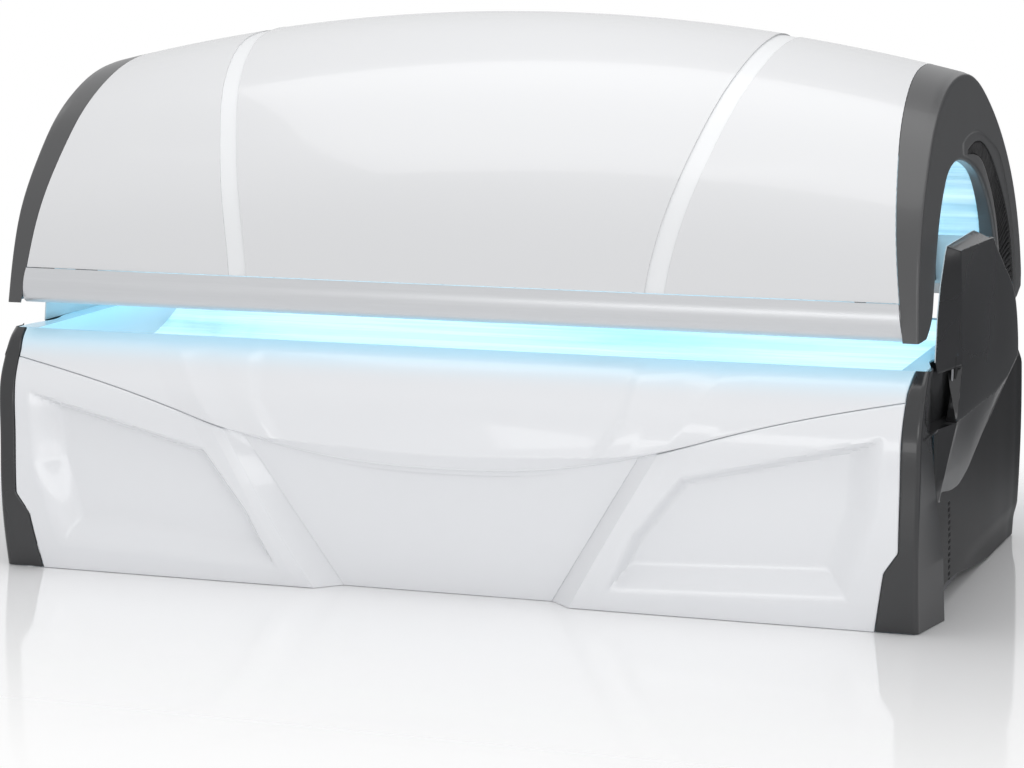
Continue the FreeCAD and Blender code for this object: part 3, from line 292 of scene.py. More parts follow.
@dataclass(frozen=True)
class LampFinish:
    """Fluorescent tube: pale glass that glows, greyer at its ends."""

    name: str
    glow: Triple
    strength: float
    half: float

    def material(self) -> bpy.types.Material:
        """Build the material: the glow falls off over the last part of the tube."""
        surface = Surface(self.name)
        end = surface.axis("X").absolute().rise(self.half - 0.10, self.half - 0.02)
        cloud = surface.noise(30.0, 2.0)
        emission = surface.mix(end, rgba(self.glow), rgba(tuple(0.25 * c for c in self.glow)))
        colour = surface.mix(cloud, rgba((0.80, 0.88, 0.92)), rgba((0.90, 0.95, 0.98)))
        return surface.finish(Base_Color=colour, Roughness=0.18, Emission_Color=emission,
                              Emission_Strength=self.strength)


MOULDED = {"uneven": 0.05, "uneven_scale": 2.0, "grain": 0.00001, "grain_scale": 2600.0}
COATED = {"grain": 0.00006, "grain_scale": 1400.0}


class Look(Enum):
    """Finishes of the machine."""

    SHELL = Finish("gloss_white", (0.70, 0.705, 0.715), 0.22, coat=0.55, uneven=0.006, uneven_scale=1.3)
    STRIP = Finish("light_strip", (0.80, 0.81, 0.82), 0.30, coat=0.3, uneven=0.006)
    # The front finish has the bed's light painted on as a glow on its upper rim.
    FRONT = LitTopFinish("gloss_white_front", (0.80, 0.81, 0.83), 0.24, coat=0.5, uneven=0.006,
                         uneven_scale=1.3)
    DARK = Finish("anthracite", (0.030, 0.0305, 0.032), 0.28, coat=0.3, **MOULDED)
    HOUSING = Finish("anthracite_housing", (0.018, 0.0185, 0.0195), 0.46, **MOULDED)
    HOOP = Finish("anthracite_hoop", (0.078, 0.0785, 0.080), 0.30, coat=0.15, **MOULDED)
    SLATS = Finish("black_slats", (0.012, 0.012, 0.013), 0.42, uneven=0.1, grain=0.00002)
    SILVER = Finish("satin_silver", (0.70, 0.71, 0.725), 0.36, metallic=0.6, coat=0.1, uneven=0.03,
                    uneven_scale=260.0, grain=0.000012, grain_scale=900.0, stretch=(0.02, 1.0, 1.0))
    PROFILE = Finish("drawn_profile", (0.70, 0.71, 0.72), 0.32, metallic=0.9, uneven=0.04,
                     uneven_scale=200.0, stretch=(0.02, 1.0, 1.0))
    INNER = Finish("light_panel", (0.66, 0.74, 0.77), 0.35, coat=0.2, uneven=0.02, grain=0.00002)
    SHEET = Finish("grey_powder_coat", (0.42, 0.43, 0.45), 0.5, uneven=0.03, **COATED)
    STEEL = Finish("dark_powder_coat", (0.09, 0.093, 0.10), 0.48, uneven=0.05, **COATED)
    GROUND = Finish("ground_steel", (0.62, 0.62, 0.63), 0.22, metallic=1.0, uneven=0.05, uneven_scale=120.0,
                    stretch=(1.0, 0.1, 0.1))
    BUSH = Finish("bearing_bronze", (0.55, 0.40, 0.18), 0.35, metallic=1.0, uneven=0.08, uneven_scale=80.0)
    RUBBER = Finish("black_rubber", (0.018, 0.018, 0.018), 0.75, uneven=0.1, uneven_scale=30.0, grain=0.0001)
    PLASTIC = Finish("black_moulding", (0.025, 0.025, 0.027), 0.5, uneven=0.06, grain=0.00008,
                     grain_scale=1200.0)
    BUTTON = Finish("grey_button", (0.40, 0.42, 0.45), 0.4, coat=0.2, uneven=0.03)
    HOLDER = Finish("white_holder", (0.72, 0.73, 0.73), 0.45, uneven=0.03)
    BRIGHT = Finish("bright_reflector", (0.80, 0.83, 0.85), 0.14, metallic=1.0, uneven=0.04, uneven_scale=6.0)
    BED_ACRYLIC = AcrylicFinish("bed_acrylic", (0.80, 0.90, 0.94), 0.66, (0.13, 0.44, 0.62), 0.54, -0.607)
    ROOF_ACRYLIC = AcrylicFinish("roof_acrylic", (0.78, 0.89, 0.94), 0.60, (0.16, 0.46, 0.62), 0.50, -0.60)
    LAMP = LampFinish("lamp_glass", (0.44, 0.76, 0.92), 0.75, 0.95)

    def material(self) -> bpy.types.Material:
        """Material of this finish, built once."""
        found = bpy.data.materials.get(self.value.name + "_finish")
        if found:
            return found
        made = self.value.material()
        made.name = self.value.name + "_finish"
        return made


# ------------------------------------------------------------------ curves and meshes
def chords(points: np.ndarray) -> np.ndarray:
    """Share of the whole length at each of the points, measured straight from one to the next."""
    step = np.linalg.norm(np.diff(points, axis=0), axis=1)
    return np.concatenate([[0.0], np.cumsum(step)]) / step.sum()


class Curve:
    """Natural cubic spline through points, run by chord length from 0 to 1."""

    def __init__(self, points: Sequence[Sequence[float]]) -> None:
        """Solve the spline's second derivatives from the three-term relation at each inner point."""
        self.points = np.asarray(points, float)
        self.knots = chords(self.points)
        count = len(self.points)
        gap = np.diff(self.knots)
        matrix = np.eye(count)
        right = np.zeros_like(self.points)
        slope = np.diff(self.points, axis=0) / gap[:, None]
        for i in range(1, count - 1):
            matrix[i, i - 1:i + 2] = gap[i - 1], 2 * (gap[i - 1] + gap[i]), gap[i]
            right[i] = 6 * (slope[i] - slope[i - 1])
        self.bend = np.linalg.solve(matrix, right)

    def at(self, t: np.ndarray) -> np.ndarray:
        """Points at the places t: on each span, the cubic that has the end points and second derivatives."""
        t = np.clip(np.asarray(t, float), 0, 1)
        i = np.clip(np.searchsorted(self.knots, t, side="right") - 1, 0, len(self.knots) - 2)
        gap = self.knots[i + 1] - self.knots[i]
        a = ((self.knots[i + 1] - t) / gap)[..., None]
        b = 1 - a
        curved = ((a ** 3 - a) * self.bend[i] + (b ** 3 - b) * self.bend[i + 1]) * (gap ** 2)[..., None] / 6
        return a * self.points[i] + b * self.points[i + 1] + curved

    def dense(self, count: int = 1200) -> np.ndarray:
        """Many points along the whole curve."""
        return self.at(np.linspace(0, 1, count))


def line(points: Sequence[Point], t: np.ndarray) -> np.ndarray:
    """Points on straight runs through the given points, at shares t of the length."""
    nodes = np.asarray(points, float)
    return np.stack([np.interp(t, chords(nodes), column) for column in nodes.T], -1)


def height_at(places: Sequence[Point], where: np.ndarray) -> np.ndarray:
    """Second coordinate of a line at a first coordinate, which rises along the line."""
    first, second = np.asarray(places, float).T
    return np.interp(where, first, second)


def across_at(places: Sequence[Point], height: np.ndarray) -> np.ndarray:
    """First coordinate of a line at a second coordinate, which rises along the line."""
    first, second = np.asarray(places, float).T
    return np.interp(height, second, first)


def smooth(value: np.ndarray, low: float, high: float) -> np.ndarray:
    """Smooth step from 0 at the low value to 1 at the high value: t squared times (3 - 2t)."""
    t = np.clip((value - low) / (high - low), 0, 1)
    return t * t * (3 - 2 * t)


def stations(count: int, length: float, edges: Sequence[float] = (0.6, 1.6, 3.2, 5.5)) -> np.ndarray:
    """Places from 0 to 1 along a length, with extra ones a few millimetres from both ends."""
    near = np.asarray(edges) * MM / length
    inner = np.linspace(near[-1] * 1.6, 1 - near[-1] * 1.6, count)
    return np.concatenate([[0], near, inner, 1 - near[::-1], [1]])


def outline_distance(points: Sequence[Point], a: np.ndarray, b: np.ndarray) -> np.ndarray:
    """Distance from (a, b) to a closed outline, positive inside: nearest of all sides, sign by crossings."""
    ring = np.asarray(points, float)
    best = np.full(a.shape, 1e9)
    inside = np.zeros(a.shape, bool)
    for p, q in zip(ring, np.roll(ring, -1, axis=0)):
        d = q - p
        t = np.clip(((a - p[0]) * d[0] + (b - p[1]) * d[1]) / (d @ d), 0, 1)
        best = np.minimum(best, np.hypot(a - p[0] - t * d[0], b - p[1] - t * d[1]))
        crosses = (p[1] > b) != (q[1] > b)
        height = d[1] if d[1] else 1e-9
        inside ^= crosses & (a < p[0] + (b - p[1]) / height * d[0])
    return np.where(inside, best, -best)


def rim_drop(distance: np.ndarray, radius: float) -> np.ndarray:
    """How far a rounded rim falls below the face at a distance from the edge: quarter circle."""
    near = np.clip(radius - distance, 0, radius)
    return radius - np.sqrt(np.maximum(radius ** 2 - near ** 2, 0))


def grid_faces(rows: int, cols: int, start: int = 0, flip: bool = False) -> np.ndarray:
    """Corner numbers of the quads of a grid of points."""
    index = np.arange(rows * cols).reshape(rows, cols) + start
    quads = np.stack([index[:-1, :-1], index[1:, :-1], index[1:, 1:], index[:-1, 1:]], -1).reshape(-1, 4)
    return quads[:, ::-1] if flip else quads


def volume(points: np.ndarray, quads: np.ndarray) -> float:
    """Signed volume of a closed mesh of quads, as the sum of corner tetrahedra."""
    p = points[quads]
    first = np.einsum("ij,ij->i", p[:, 0], np.cross(p[:, 1], p[:, 2]))
    second = np.einsum("ij,ij->i", p[:, 0], np.cross(p[:, 2], p[:, 3]))
    return float((first + second).sum() / 6)


def put(name: str, data: bpy.types.ID) -> bpy.types.Object:
    """New object in the scene that shows the data."""
    made = bpy.data.objects.new(name, data)
    bpy.context.scene.collection.objects.link(made)
    return made


def mesh_object(name: str, points: np.ndarray, quads: np.ndarray, look: Look) -> bpy.types.Object:
    """Make a smooth-shaded object of quads.

    Args:
        name: The piece's name.
        points: Corner places.
        quads: Corner numbers of each quad.
        look: The finish.

    Returns:
        The object, at the origin.
    """
    mesh = bpy.data.meshes.new(name)
    mesh.vertices.add(len(points))
    mesh.vertices.foreach_set("co", np.ascontiguousarray(points, np.float32).ravel())
    mesh.loops.add(quads.size)
    mesh.loops.foreach_set("vertex_index", np.ascontiguousarray(quads, np.int32).ravel())
    mesh.polygons.add(len(quads))
    mesh.polygons.foreach_set("loop_start", np.arange(0, quads.size, 4, dtype=np.int32))
    mesh.polygons.foreach_set("use_smooth", np.ones(len(quads), bool))
    mesh.update(calc_edges=True)
    mesh.validate()
    mesh.materials.append(look.material())
    return put(name, mesh)


def bevel(piece: bpy.types.Object, width: float) -> bpy.types.Object:
    """Round the piece's edges of more than 40 degrees."""
    rounded = piece.modifiers.new("soft_edges", "BEVEL")
    rounded.width = width
    rounded.segments = 3
    rounded.limit_method = "ANGLE"
    rounded.angle_limit = math.radians(40)
    rounded.harden_normals = True
    return piece


def closed(outer: np.ndarray, inner: np.ndarray) -> tuple[np.ndarray, np.ndarray]:
    """Points and quads of the closed wall between two grids of the same size.

    Both faces' quads are turned outward. The narrow rim's quads run the other way round.
    """
    rows, cols = outer.shape[:2]
    count = rows * cols
    points = np.concatenate([outer.reshape(-1, 3), inner.reshape(-1, 3)])
    index = np.arange(count).reshape(rows, cols)
    border = np.concatenate([index[0, :-1], index[:-1, -1], index[-1, :0:-1], index[:0:-1, 0]])
    following = np.roll(border, -1)
    rim = np.stack([border, border + count, following + count, following], -1)
    quads = np.concatenate([grid_faces(rows, cols), grid_faces(rows, cols, count, True), rim])
    return points, quads if volume(points, quads) > 0 else quads[:, ::-1]


def shells(name: str, walls: Walls, look: Look, edge: float = 0.0) -> bpy.types.Object:
    """One piece of several closed walls.

    Args:
        name: The piece's name.
        walls: Outside and inside grids of each wall, rows by columns by 3.
        look: The finish.
        edge: Width of the rounding along its sharp edges.

    Returns:
        The object.
    """
    points, quads = [], []
    start = 0
    for outer, inner in walls:
        places, faces = closed(outer, inner)
        points.append(places)
        quads.append(faces + start)
        start += len(places)
    piece = mesh_object(name, np.concatenate(points), np.concatenate(quads), look)
    return bevel(piece, edge) if edge else piece


def block(x0: float, x1: float, y0: float, y1: float, z0: float, z1: float) -> tuple[np.ndarray, np.ndarray]:
    """Top and bottom grids of a box by its limits."""
    grid = np.array([[(x, y, 0.0) for y in (y0, y1)] for x in (x0, x1)])
    return grid + np.array([0, 0, z1]), grid + np.array([0, 0, z0])


def rods(name: str, places: np.ndarray, radius: float, spans: Sequence[Point], look: Look) -> bpy.types.Object:
    """Round bars along X: at each (y, z) place, one for each span of x; sides smooth, ends flat."""
    sides = 28
    angle = np.linspace(0, 2 * math.pi, sides, endpoint=False)
    ring = np.stack([np.zeros(sides), radius * np.cos(angle), radius * np.sin(angle)], -1)
    points: list[tuple[float, ...]] = []
    faces: list[list[int]] = []
    for y, z in places:
        for x0, x1 in spans:
            start = len(points)
            for x in (x0, x1):
                points += [tuple(p) for p in ring + np.array([x, y, z])]
            for i in range(sides):
                j = (i + 1) % sides
                faces.append([start + i, start + j, start + sides + j, start + sides + i])
            faces.append([start + sides - 1 - i for i in range(sides)])
            faces.append([start + sides + i for i in range(sides)])
    mesh = bpy.data.meshes.new(name)
    mesh.from_pydata(points, [], faces)
    for face in mesh.polygons:
        face.use_smooth = len(face.vertices) == 4
    mesh.materials.append(look.material())
    return put(name, mesh)


def aside(points: np.ndarray, distance: float) -> np.ndarray:
    """Line of (y, z) places moved to its left along its own normal."""
    tangent = np.gradient(points, axis=0)
    tangent /= np.linalg.norm(tangent, axis=1, keepdims=True)
    return points + np.stack([-tangent[:, 1], tangent[:, 0]], -1) * distance


def wall(outer: np.ndarray, thickness: float) -> np.ndarray:
    """Grid moved against its own normals, which come from the cross product of its two directions."""
    along = np.gradient(outer, axis=0)
    across = np.gradient(outer, axis=1)
    normal = np.cross(along, across)
    normal /= np.maximum(np.linalg.norm(normal, axis=-1, keepdims=True), 1e-12)
    return outer - normal * thickness


def mirror(grid: np.ndarray) -> np.ndarray:
    """The same points at the other end of the machine."""
    return grid * np.array([-1.0, 1.0, 1.0])


def sweep(path: np.ndarray, reach: np.ndarray | float, along: np.ndarray) -> np.ndarray:
    """Grid of a (y, z) line run along x to both ends.

    Args:
        path: The line's places.
        reach: Half length, one for all places or one for each.
        along: Shares of the run from 0 to 1.

    Returns:
        Points, one row for each share.
    """
    x = (2 * along[:, None] - 1) * (reach + np.zeros(len(path)))
    return np.stack([x, np.broadcast_to(path[:, 0], x.shape), np.broadcast_to(path[:, 1], x.shape)], -1)


def patch(left: np.ndarray, right: np.ndarray, low: np.ndarray, high: np.ndarray, u: np.ndarray,
          v: np.ndarray) -> np.ndarray:
    """Grid between four edge curves: blend of opposite edges minus the blend of the corners.

    Args:
        left: Points at u = 0 for each v.
        right: Points at u = 1 for each v.
        low: Points at v = 0 for each u.
        high: Points at v = 1 for each u.
        u: Shares across.
        v: Shares upward.

    Returns:
        Points, v by u by dimension.
    """
    u, v = u[None, :, None], v[:, None, None]
    ruled = (1 - u) * left[:, None] + u * right[:, None] + (1 - v) * low[None] + v * high[None]
    below = (1 - u) * left[0] + u * right[0]
    above = (1 - u) * left[-1] + u * right[-1]
    return ruled - (1 - v) * below - v * above


def mm(points: Iterable[Point]) -> list[Point]:
    """Points in metres from points in millimetres."""
    return [(a * MM, b * MM) for a, b in points]


def traced(*places: Point) -> list[Point]:
    """Default of a dataclass field: a line's places, given in millimetres."""
    return field(default_factory=lambda: mm(places))


def curved(*places: Point) -> Curve:
    """Default of a dataclass field: a smooth curve through places given in millimetres."""
    return field(default_factory=lambda: Curve(mm(places)))


def dress(nodes: Sequence[str], look: Look) -> None:
    """Give frame nodes their finish."""
    for name in nodes:
        for held in FRAME["nodes"][name].material_slots:
            held.material = look.material()
        log.info("%s wears %s", name, look.name)


def fit(piece: bpy.types.Object, body: str, slot: str, *nodes: str) -> bpy.types.Object:
    """Ride a piece on its body and let it stand for frame nodes."""
    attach(piece, body)
    if nodes:
        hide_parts(*nodes)
    log.info("%s: %d faces on %s", piece.name, len(piece.data.polygons), body)
    return piece


def both_ends(name: str, walls: Walls, look: Look, edge: float, body: str, slot: str, *nodes: str) -> None:
    """Make a piece for the right end, and its mirror image for the left.

    Args:
        name: The pieces' name, to which the side is added.
        walls: Outside and inside grids of the right piece's walls.
        look: The finish.
        edge: Width of the rounding along sharp edges, or 0.
        body: The body that both ride on.
        slot: Their material slot; not used.
        nodes: The frame nodes they stand for, to which the side is added.
    """
    mirrored = [(mirror(outer), mirror(inner)) for outer, inner in walls]
    for side, placed in (("right", walls), ("left", mirrored)):
        piece = shells(f"{name}_{side}", placed, look, edge)
        fit(piece, body, slot, *(f"{node}_{side}" for node in nodes))


FRAME: dict = {}


# ------------------------------------------------------------------ canopy
@dataclass
class Canopy:
    """Domed canopy: its outer surface is one end profile whose height swells towards the middle."""

    half: float = 1.150
    lip: float = 0.662
    swell: float = 0.2607
    skin: float = 0.004
    seam: float = 0.0015
    ring_foot: float = 1.098
    ring_lean: float = 0.074
    ring_crown: float = 1.227
    face_foot: float = 1.134
    face_lean: float = 0.0505
    face_toe: float = 0.0095
    shell_foot: float = 0.750
    shell_back: float = 0.642
    strip: float = 0.046
    strip_foot: float = 0.520
    strip_top: float = 0.680
    strip_reach: float = 1.310
    strip_depths: Point = (0.002, 0.005)
    proud: float = 0.002
    chamfer: float = 0.007
    crease_depth: float = 0.0022
    along: np.ndarray = field(default_factory=lambda: stations(40, 2.1))
    handle: Curve = curved((-664, 748.5), (-671, 726), (-669, 694), (-660, 672), (-645, 662))
    profile: Curve = curved(
        (-674, 662), (-664, 726), (-648, 800), (-622, 875), (-580, 945), (-523, 1014), (-450, 1086),
        (-350, 1149), (-235, 1194), (-100, 1217), (30, 1217), (170, 1191), (303, 1141), (430, 1076),
        (545, 996), (640, 900), (697, 800), (722, 710), (727, 640))

    def growth(self, x: np.ndarray) -> np.ndarray:
        """How much taller the profile is at x: 1 plus swell times (1 minus the square of x over half)."""
        return 1 + self.swell * (1 - (x / self.half) ** 2)

    def height(self, x: np.ndarray, z_end: np.ndarray) -> np.ndarray:
        """Height at x of what has the height z_end in the end profile."""
        return self.lip + (z_end - self.lip) * self.growth(x)

    def surface(self, x: np.ndarray, s: np.ndarray, inset: float = 0.0) -> np.ndarray:
        """Points of the outside at x and share s of the profile, moved inward along the normal.

        The normal is the cross product of the derivatives along x, (1, 0, dz/dx), and along the
        profile, (0, dy/ds, dz/ds).
        """
        here = self.profile.at(s)
        ahead = self.profile.at(np.minimum(s + 0.002, 1))
        behind = self.profile.at(np.maximum(s - 0.002, 0))
        y, z_end = here[..., 0], here[..., 1]
        z = self.height(x, z_end)
        dy = ahead[..., 0] - behind[..., 0]
        dz = (ahead[..., 1] - behind[..., 1]) * self.growth(x)
        rise = -2 * self.swell * x / self.half ** 2 * (z_end - self.lip)
        normal = np.stack([-rise * dy, -dz, dy], -1)
        normal *= np.sign(normal[..., 2:3] + 1e-9) * np.sign(dy[..., None] + 1e-9)
        normal /= np.linalg.norm(normal, axis=-1, keepdims=True)
        return np.stack([x, y, z], -1) - normal * inset

    def share_at(self, x: np.ndarray, z: float | np.ndarray, front: bool) -> np.ndarray:
        """Share of the profile where the outside at x has the height z, on the front or rear flank."""
        dense = self.profile.dense()
        crown = int(np.argmax(dense[:, 1]))
        shares = np.linspace(0, 1, len(dense))
        z_end = self.lip + (z - self.lip) / self.growth(x)
        if front:
            return np.interp(z_end, dense[:crown, 1], shares[:crown])
        return np.interp(z_end, dense[:crown:-1, 1], shares[:crown:-1])

    def face_x(self, y: np.ndarray, z: np.ndarray) -> np.ndarray:
        """X of the end face: a plane that leans inboard with height and outboard towards the rear."""
        return self.face_foot - self.face_lean * (z - self.lip) + self.face_toe * (y + 0.674)

    def ring_x(self, z: np.ndarray) -> np.ndarray:
        """X of the leaning joint between the shells and the end ring at a height."""
        return self.ring_foot - self.ring_lean / (self.ring_crown - self.lip) * (z - self.lip)

    def strip_x(self, z: np.ndarray) -> np.ndarray:
        """X of a light strip's middle at a height."""
        share = np.clip((z - self.shell_foot) / (self.strip_reach - self.shell_foot), 0, 1)
        return self.strip_foot + (self.strip_top - self.strip_foot) * share ** 1.35

    def band(self, low: Callable, high: Callable, depth: float, cols: int) -> np.ndarray:
        """Grid on the outside between two lines, from the shell's front foot over to its rear foot.

        X is the blend of both lines at the point's own height, found by repeating the step that
        gives the height from x.

        Args:
            low: X of the inboard line at a height.
            high: X of the outboard line at a height.
            depth: How far inside the outer surface the grid lies.
            cols: Number of evenly spaced columns.

        Returns:
            Points, along the profile by across it.
        """
        middle = np.array(0.9)
        width = float(abs(high(middle) - low(middle)))
        edges = (0.5, 1.2) if width < 0.1 else (0.6, 1.6, 3.2, 5.5)
        u = stations(cols, max(width, 0.04), edges)[None, :]
        v = stations(170, 2.2)[:, None]
        x = (1 - u) * low(middle) + u * high(middle) + 0 * v
        for _ in range(5):
            start = self.share_at(x, self.shell_foot, True)
            stop = self.share_at(x, self.shell_back, False)
            s = start + (stop - start) * v
            z = self.height(x, self.profile.at(s)[..., 1])
            x = (1 - u) * low(z) + u * high(z)
        return self.surface(x, s, depth)

    def build(self) -> None:
        """Make the shells, the light strips and the handle strip."""
        gap = self.seam / 2
        apart = self.strip / 2 + gap
        near = apart - 0.3 * gap
        edge = lambda z: self.ring_x(z) - self.seam
        inner = lambda z: self.strip_x(z) - apart
        outer = lambda z: self.strip_x(z) + apart
        centre = [self.crease(self.band(lambda z: -inner(z), inner, depth, 110))
                  for depth in (-self.proud, self.skin)]
        side = [self.crease(self.band(outer, edge, depth, 60)) for depth in (0.0, self.skin)]
        light = [self.band(lambda z: self.strip_x(z) - near, lambda z: self.strip_x(z) + near, depth, 9)
                 for depth in self.strip_depths]
        piece = shells("canopy_centre_shell", [centre], Look.SHELL, 1.4 * MM)
        fit(piece, "canopy", "white_gloss", "canopy_shell_centre")
        both_ends("canopy_side_shell", [side], Look.SHELL, 1.4 * MM, "canopy", "white_gloss", "canopy_shell")
        both_ends("canopy_light_strip", [light], Look.STRIP, 0.8 * MM, "canopy", "seam_light", "canopy_seam")
        outside = self.handle.at(stations(26, 0.1))
        strip = [sweep(face, self.ring_x(face[:, 1]) - self.seam, self.along)
                 for face in (outside, aside(outside, 0.008))]
        piece = shells("front_handle_strip", [strip], Look.SILVER, 1.5 * MM)
        fit(piece, "canopy", "satin_silver", "front_trim")

    def crease(self, grid: np.ndarray) -> np.ndarray:
        """Press the faint horizontal crease of the side shells in: a shallow groove that fades along x."""
        x, y, z = np.moveaxis(grid, -1, 0)
        x = np.abs(x)
        front = smooth(-y, 0.33, 0.45)
        fade = smooth(x, self.strip_foot + 0.06, self.strip_foot + 0.09) * (1 - smooth(x, 0.80, 0.93))
        step = smooth(z, 1.014, 1.044) - smooth(z, 1.03, 1.16)
        grid = grid.copy()
        grid[..., 1] += self.crease_depth * step * fade * front
        return grid


@dataclass
class EndRing:
    """Dark hoop at each end of the canopy, worked out in polar places round the tunnel's middle."""

    canopy: Canopy
    centre: Point = (-0.100, 0.655)
    mouth: float = 0.009
    field_depth: float = 0.0022
    vent_depth: float = 0.009
    vent_tip: float = 1.345
    collar_x: float = 1.096
    wall: float = 0.0035
    start: float = math.pi - 0.0125
    stop: float = 0.012
    slat: float = 0.0022
    opening: Curve = curved(
        (-577, 660), (-498, 705), (-475, 748), (-442, 814), (-404, 879), (-364, 930), (-323, 968), (-282, 997),
        (-229, 1016), (-164, 1026), (-86, 1025), (-8, 1015), (71, 998), (151, 971), (216, 935), (273, 890),
        (314, 846), (343, 795), (372, 660))
    vent_inner: Curve = curved(
        (-10, 1033), (97, 1025), (204, 996), (276, 947), (344, 882), (388, 802), (409, 720), (413, 658))
    vent_outer: Curve = curved(
        (-21, 1039), (106, 1057), (218, 1044), (322, 1004), (419, 942), (511, 867), (580, 770), (606, 660))
    field_edge: Curve = curved(
        (-68, 1067), (-2, 1078), (102, 1082), (213, 1067), (334, 1037), (441, 997), (500, 946))
    foot: list[Point] = traced((372, 660), (500, 645), (546, 614), (650, 604), (727, 632))
    slats: int = 58

    def turn(self, points: np.ndarray) -> tuple[np.ndarray, np.ndarray]:
        """Angle and distance from the centre of (y, z) places, sorted by angle."""
        away = points - np.array(self.centre)
        angle = np.arctan2(away[:, 1], away[:, 0])
        order = np.argsort(angle)
        return angle[order], np.hypot(away[:, 0], away[:, 1])[order]

    def rim(self) -> tuple[np.ndarray, np.ndarray]:
        """Where the canopy's outside meets the leaning end face: (y, z) places and their profile shares."""
        share = np.linspace(0, 1, 3000)
        y, z_end = self.canopy.profile.at(share).T
        z = z_end.copy()
        for _ in range(6):
            z = self.canopy.height(self.canopy.face_x(y, z), z_end)
        return np.stack([y, z], -1), share

    def across(self, curve: Curve, angle: np.ndarray, r_in: np.ndarray, r_out: np.ndarray) -> np.ndarray:
        """Distance of a curve from the centre; past its ends it keeps its last share of the hoop's width."""
        turn, radius = self.turn(curve.dense(3000))
        held = np.clip(angle, turn[0], turn[-1])
        low = np.interp(held, angle[::-1], r_in[::-1])
        high = np.interp(held, angle[::-1], r_out[::-1])
        share = (np.interp(held, turn, radius) - low) / (high - low)
        return r_in + share * (r_out - r_in)

    def polar(self, radius: np.ndarray, angle: np.ndarray) -> np.ndarray:
        """Points (y, z) at a distance and angle from the centre."""
        return np.stack([self.centre[0] + radius * np.cos(angle), self.centre[1] + radius * np.sin(angle)], -1)

    def on_face(self, where: np.ndarray, depth: np.ndarray | float) -> np.ndarray:
        """Points in space at (y, z) places, the depth below the leaning end face."""
        x = self.canopy.face_x(where[..., 0], where[..., 1]) - depth
        return np.concatenate([x[..., None], where], -1)

    def build(self) -> None:
        """Make both hoops and both vent grilles."""
        both_ends("end_hoop", [self.hoop()], Look.HOOP, 1.2 * MM, "canopy", "anthracite", "end_ring")
        both_ends("vent_slats", self.grille(), Look.SLATS, 0.7 * MM, "canopy", "black_grille", "vent_grille")

    def quarter(self, steps: Iterable[int]) -> list[Point]:
        """Sine and 1 minus cosine at fifths of a right angle."""
        return [(math.sin(math.pi / 10 * k), 1 - math.cos(math.pi / 10 * k)) for k in steps]

    def hoop(self) -> tuple[np.ndarray, np.ndarray]:
        """Outside and inside grids of the right hoop.

        Rows run round the hoop, from the front lip over the crown to the rear foot. Columns run
        across it: collar, rounded mouth, face with the sunk field and the vent recess, rounded
        rim and outer strip. Each face column is a distance from the centre and a depth.
        """
        c, mouth, chamfer = self.canopy, self.mouth, self.canopy.chamfer
        edge, tiny = 0.0012, 0.0004
        rim_places, rim_shares = self.rim()
        away = rim_places - np.array(self.centre)
        rim_turn = np.arctan2(away[:, 1], away[:, 0])
        angle = np.linspace(self.start, self.stop, 300)
        shares = np.interp(angle, rim_turn[::-1], rim_shares[::-1])
        r_out = np.interp(angle, *self.turn(rim_places))
        r_in = np.interp(angle, *self.turn(self.opening.dense(3000)))
        r_vi = np.maximum(self.across(self.vent_inner, angle, r_in, r_out), r_in + mouth + 0.002)
        r_vo = np.maximum(self.across(self.vent_outer, angle, r_in, r_out), r_vi + 0.004)
        r_fe = np.clip(self.across(self.field_edge, angle, r_in, r_out), r_vo + 0.008, r_out - 0.02)
        sunk = self.field_depth * smooth(-angle, -1.55, -1.42)
        vent = np.maximum(sunk, self.vent_depth * smooth(-angle, -self.vent_tip - 0.01, -self.vent_tip + 0.05))
        lip = sunk + tiny * (vent > sunk)
        flat = np.zeros_like(angle)
        inner = self.polar(r_in, angle)
        reach = c.face_x(inner[:, 0], inner[:, 1]) - self.collar_x
        start = r_in + mouth
        columns = [(r_in, mouth + (reach - mouth) * share) for share in (1.0, 0.94, 0.5, 0.1, 0.0)]
        columns += [(r_in + mouth * out, flat + mouth * (1 - up)) for up, out in self.quarter(range(1, 6))]
        columns += [(start + (r_vi - 0.0015 - start) * share, sunk * share) for share in (0.15, 0.5, 0.85)]
        columns += [(r_vi - edge, sunk), (r_vi, lip), (r_vi + tiny, vent)]
        columns += [(r_vi + (r_vo - r_vi) * share, vent) for share in (0.2, 0.4, 0.6, 0.8)]
        columns += [(r_vo - tiny, vent), (r_vo, lip), (r_vo + edge, sunk)]
        columns += [(r_vo + edge + (r_fe - r_vo - 0.0055) * share, sunk) for share in (0.2, 0.5, 0.8, 1.0)]
        columns += [(r_fe - 0.0025, sunk * 0.8), (r_fe - 0.0005, sunk * 0.15), (r_fe + 0.0006, flat)]
        columns += [(r_fe + 0.001 + (r_out - chamfer - 0.001 - r_fe) * share, flat)
                    for share in (0.05, 0.3, 0.65, 0.95)]
        columns += [(r_out - chamfer + chamfer * up, flat + chamfer * out)
                    for up, out in self.quarter(range(6))]
        face = [self.on_face(self.polar(r, angle), depth) for r, depth in columns]
        z_end = c.profile.at(shares)[..., 1]
        begin = face[-1][:, 0]
        strip = []
        for share in (0.12, 0.3, 0.5, 0.7, 0.9, 0.97, 1.0):
            x = begin.copy()
            for _ in range(5):
                x = begin * (1 - share) + c.ring_x(c.height(x, z_end)) * share
            strip.append(c.surface(x, shares))
        grid = np.stack(face + strip, 1)
        grid = np.concatenate([grid, self.rear_foot(grid[-1])], 0)
        return grid, wall(grid, self.wall)

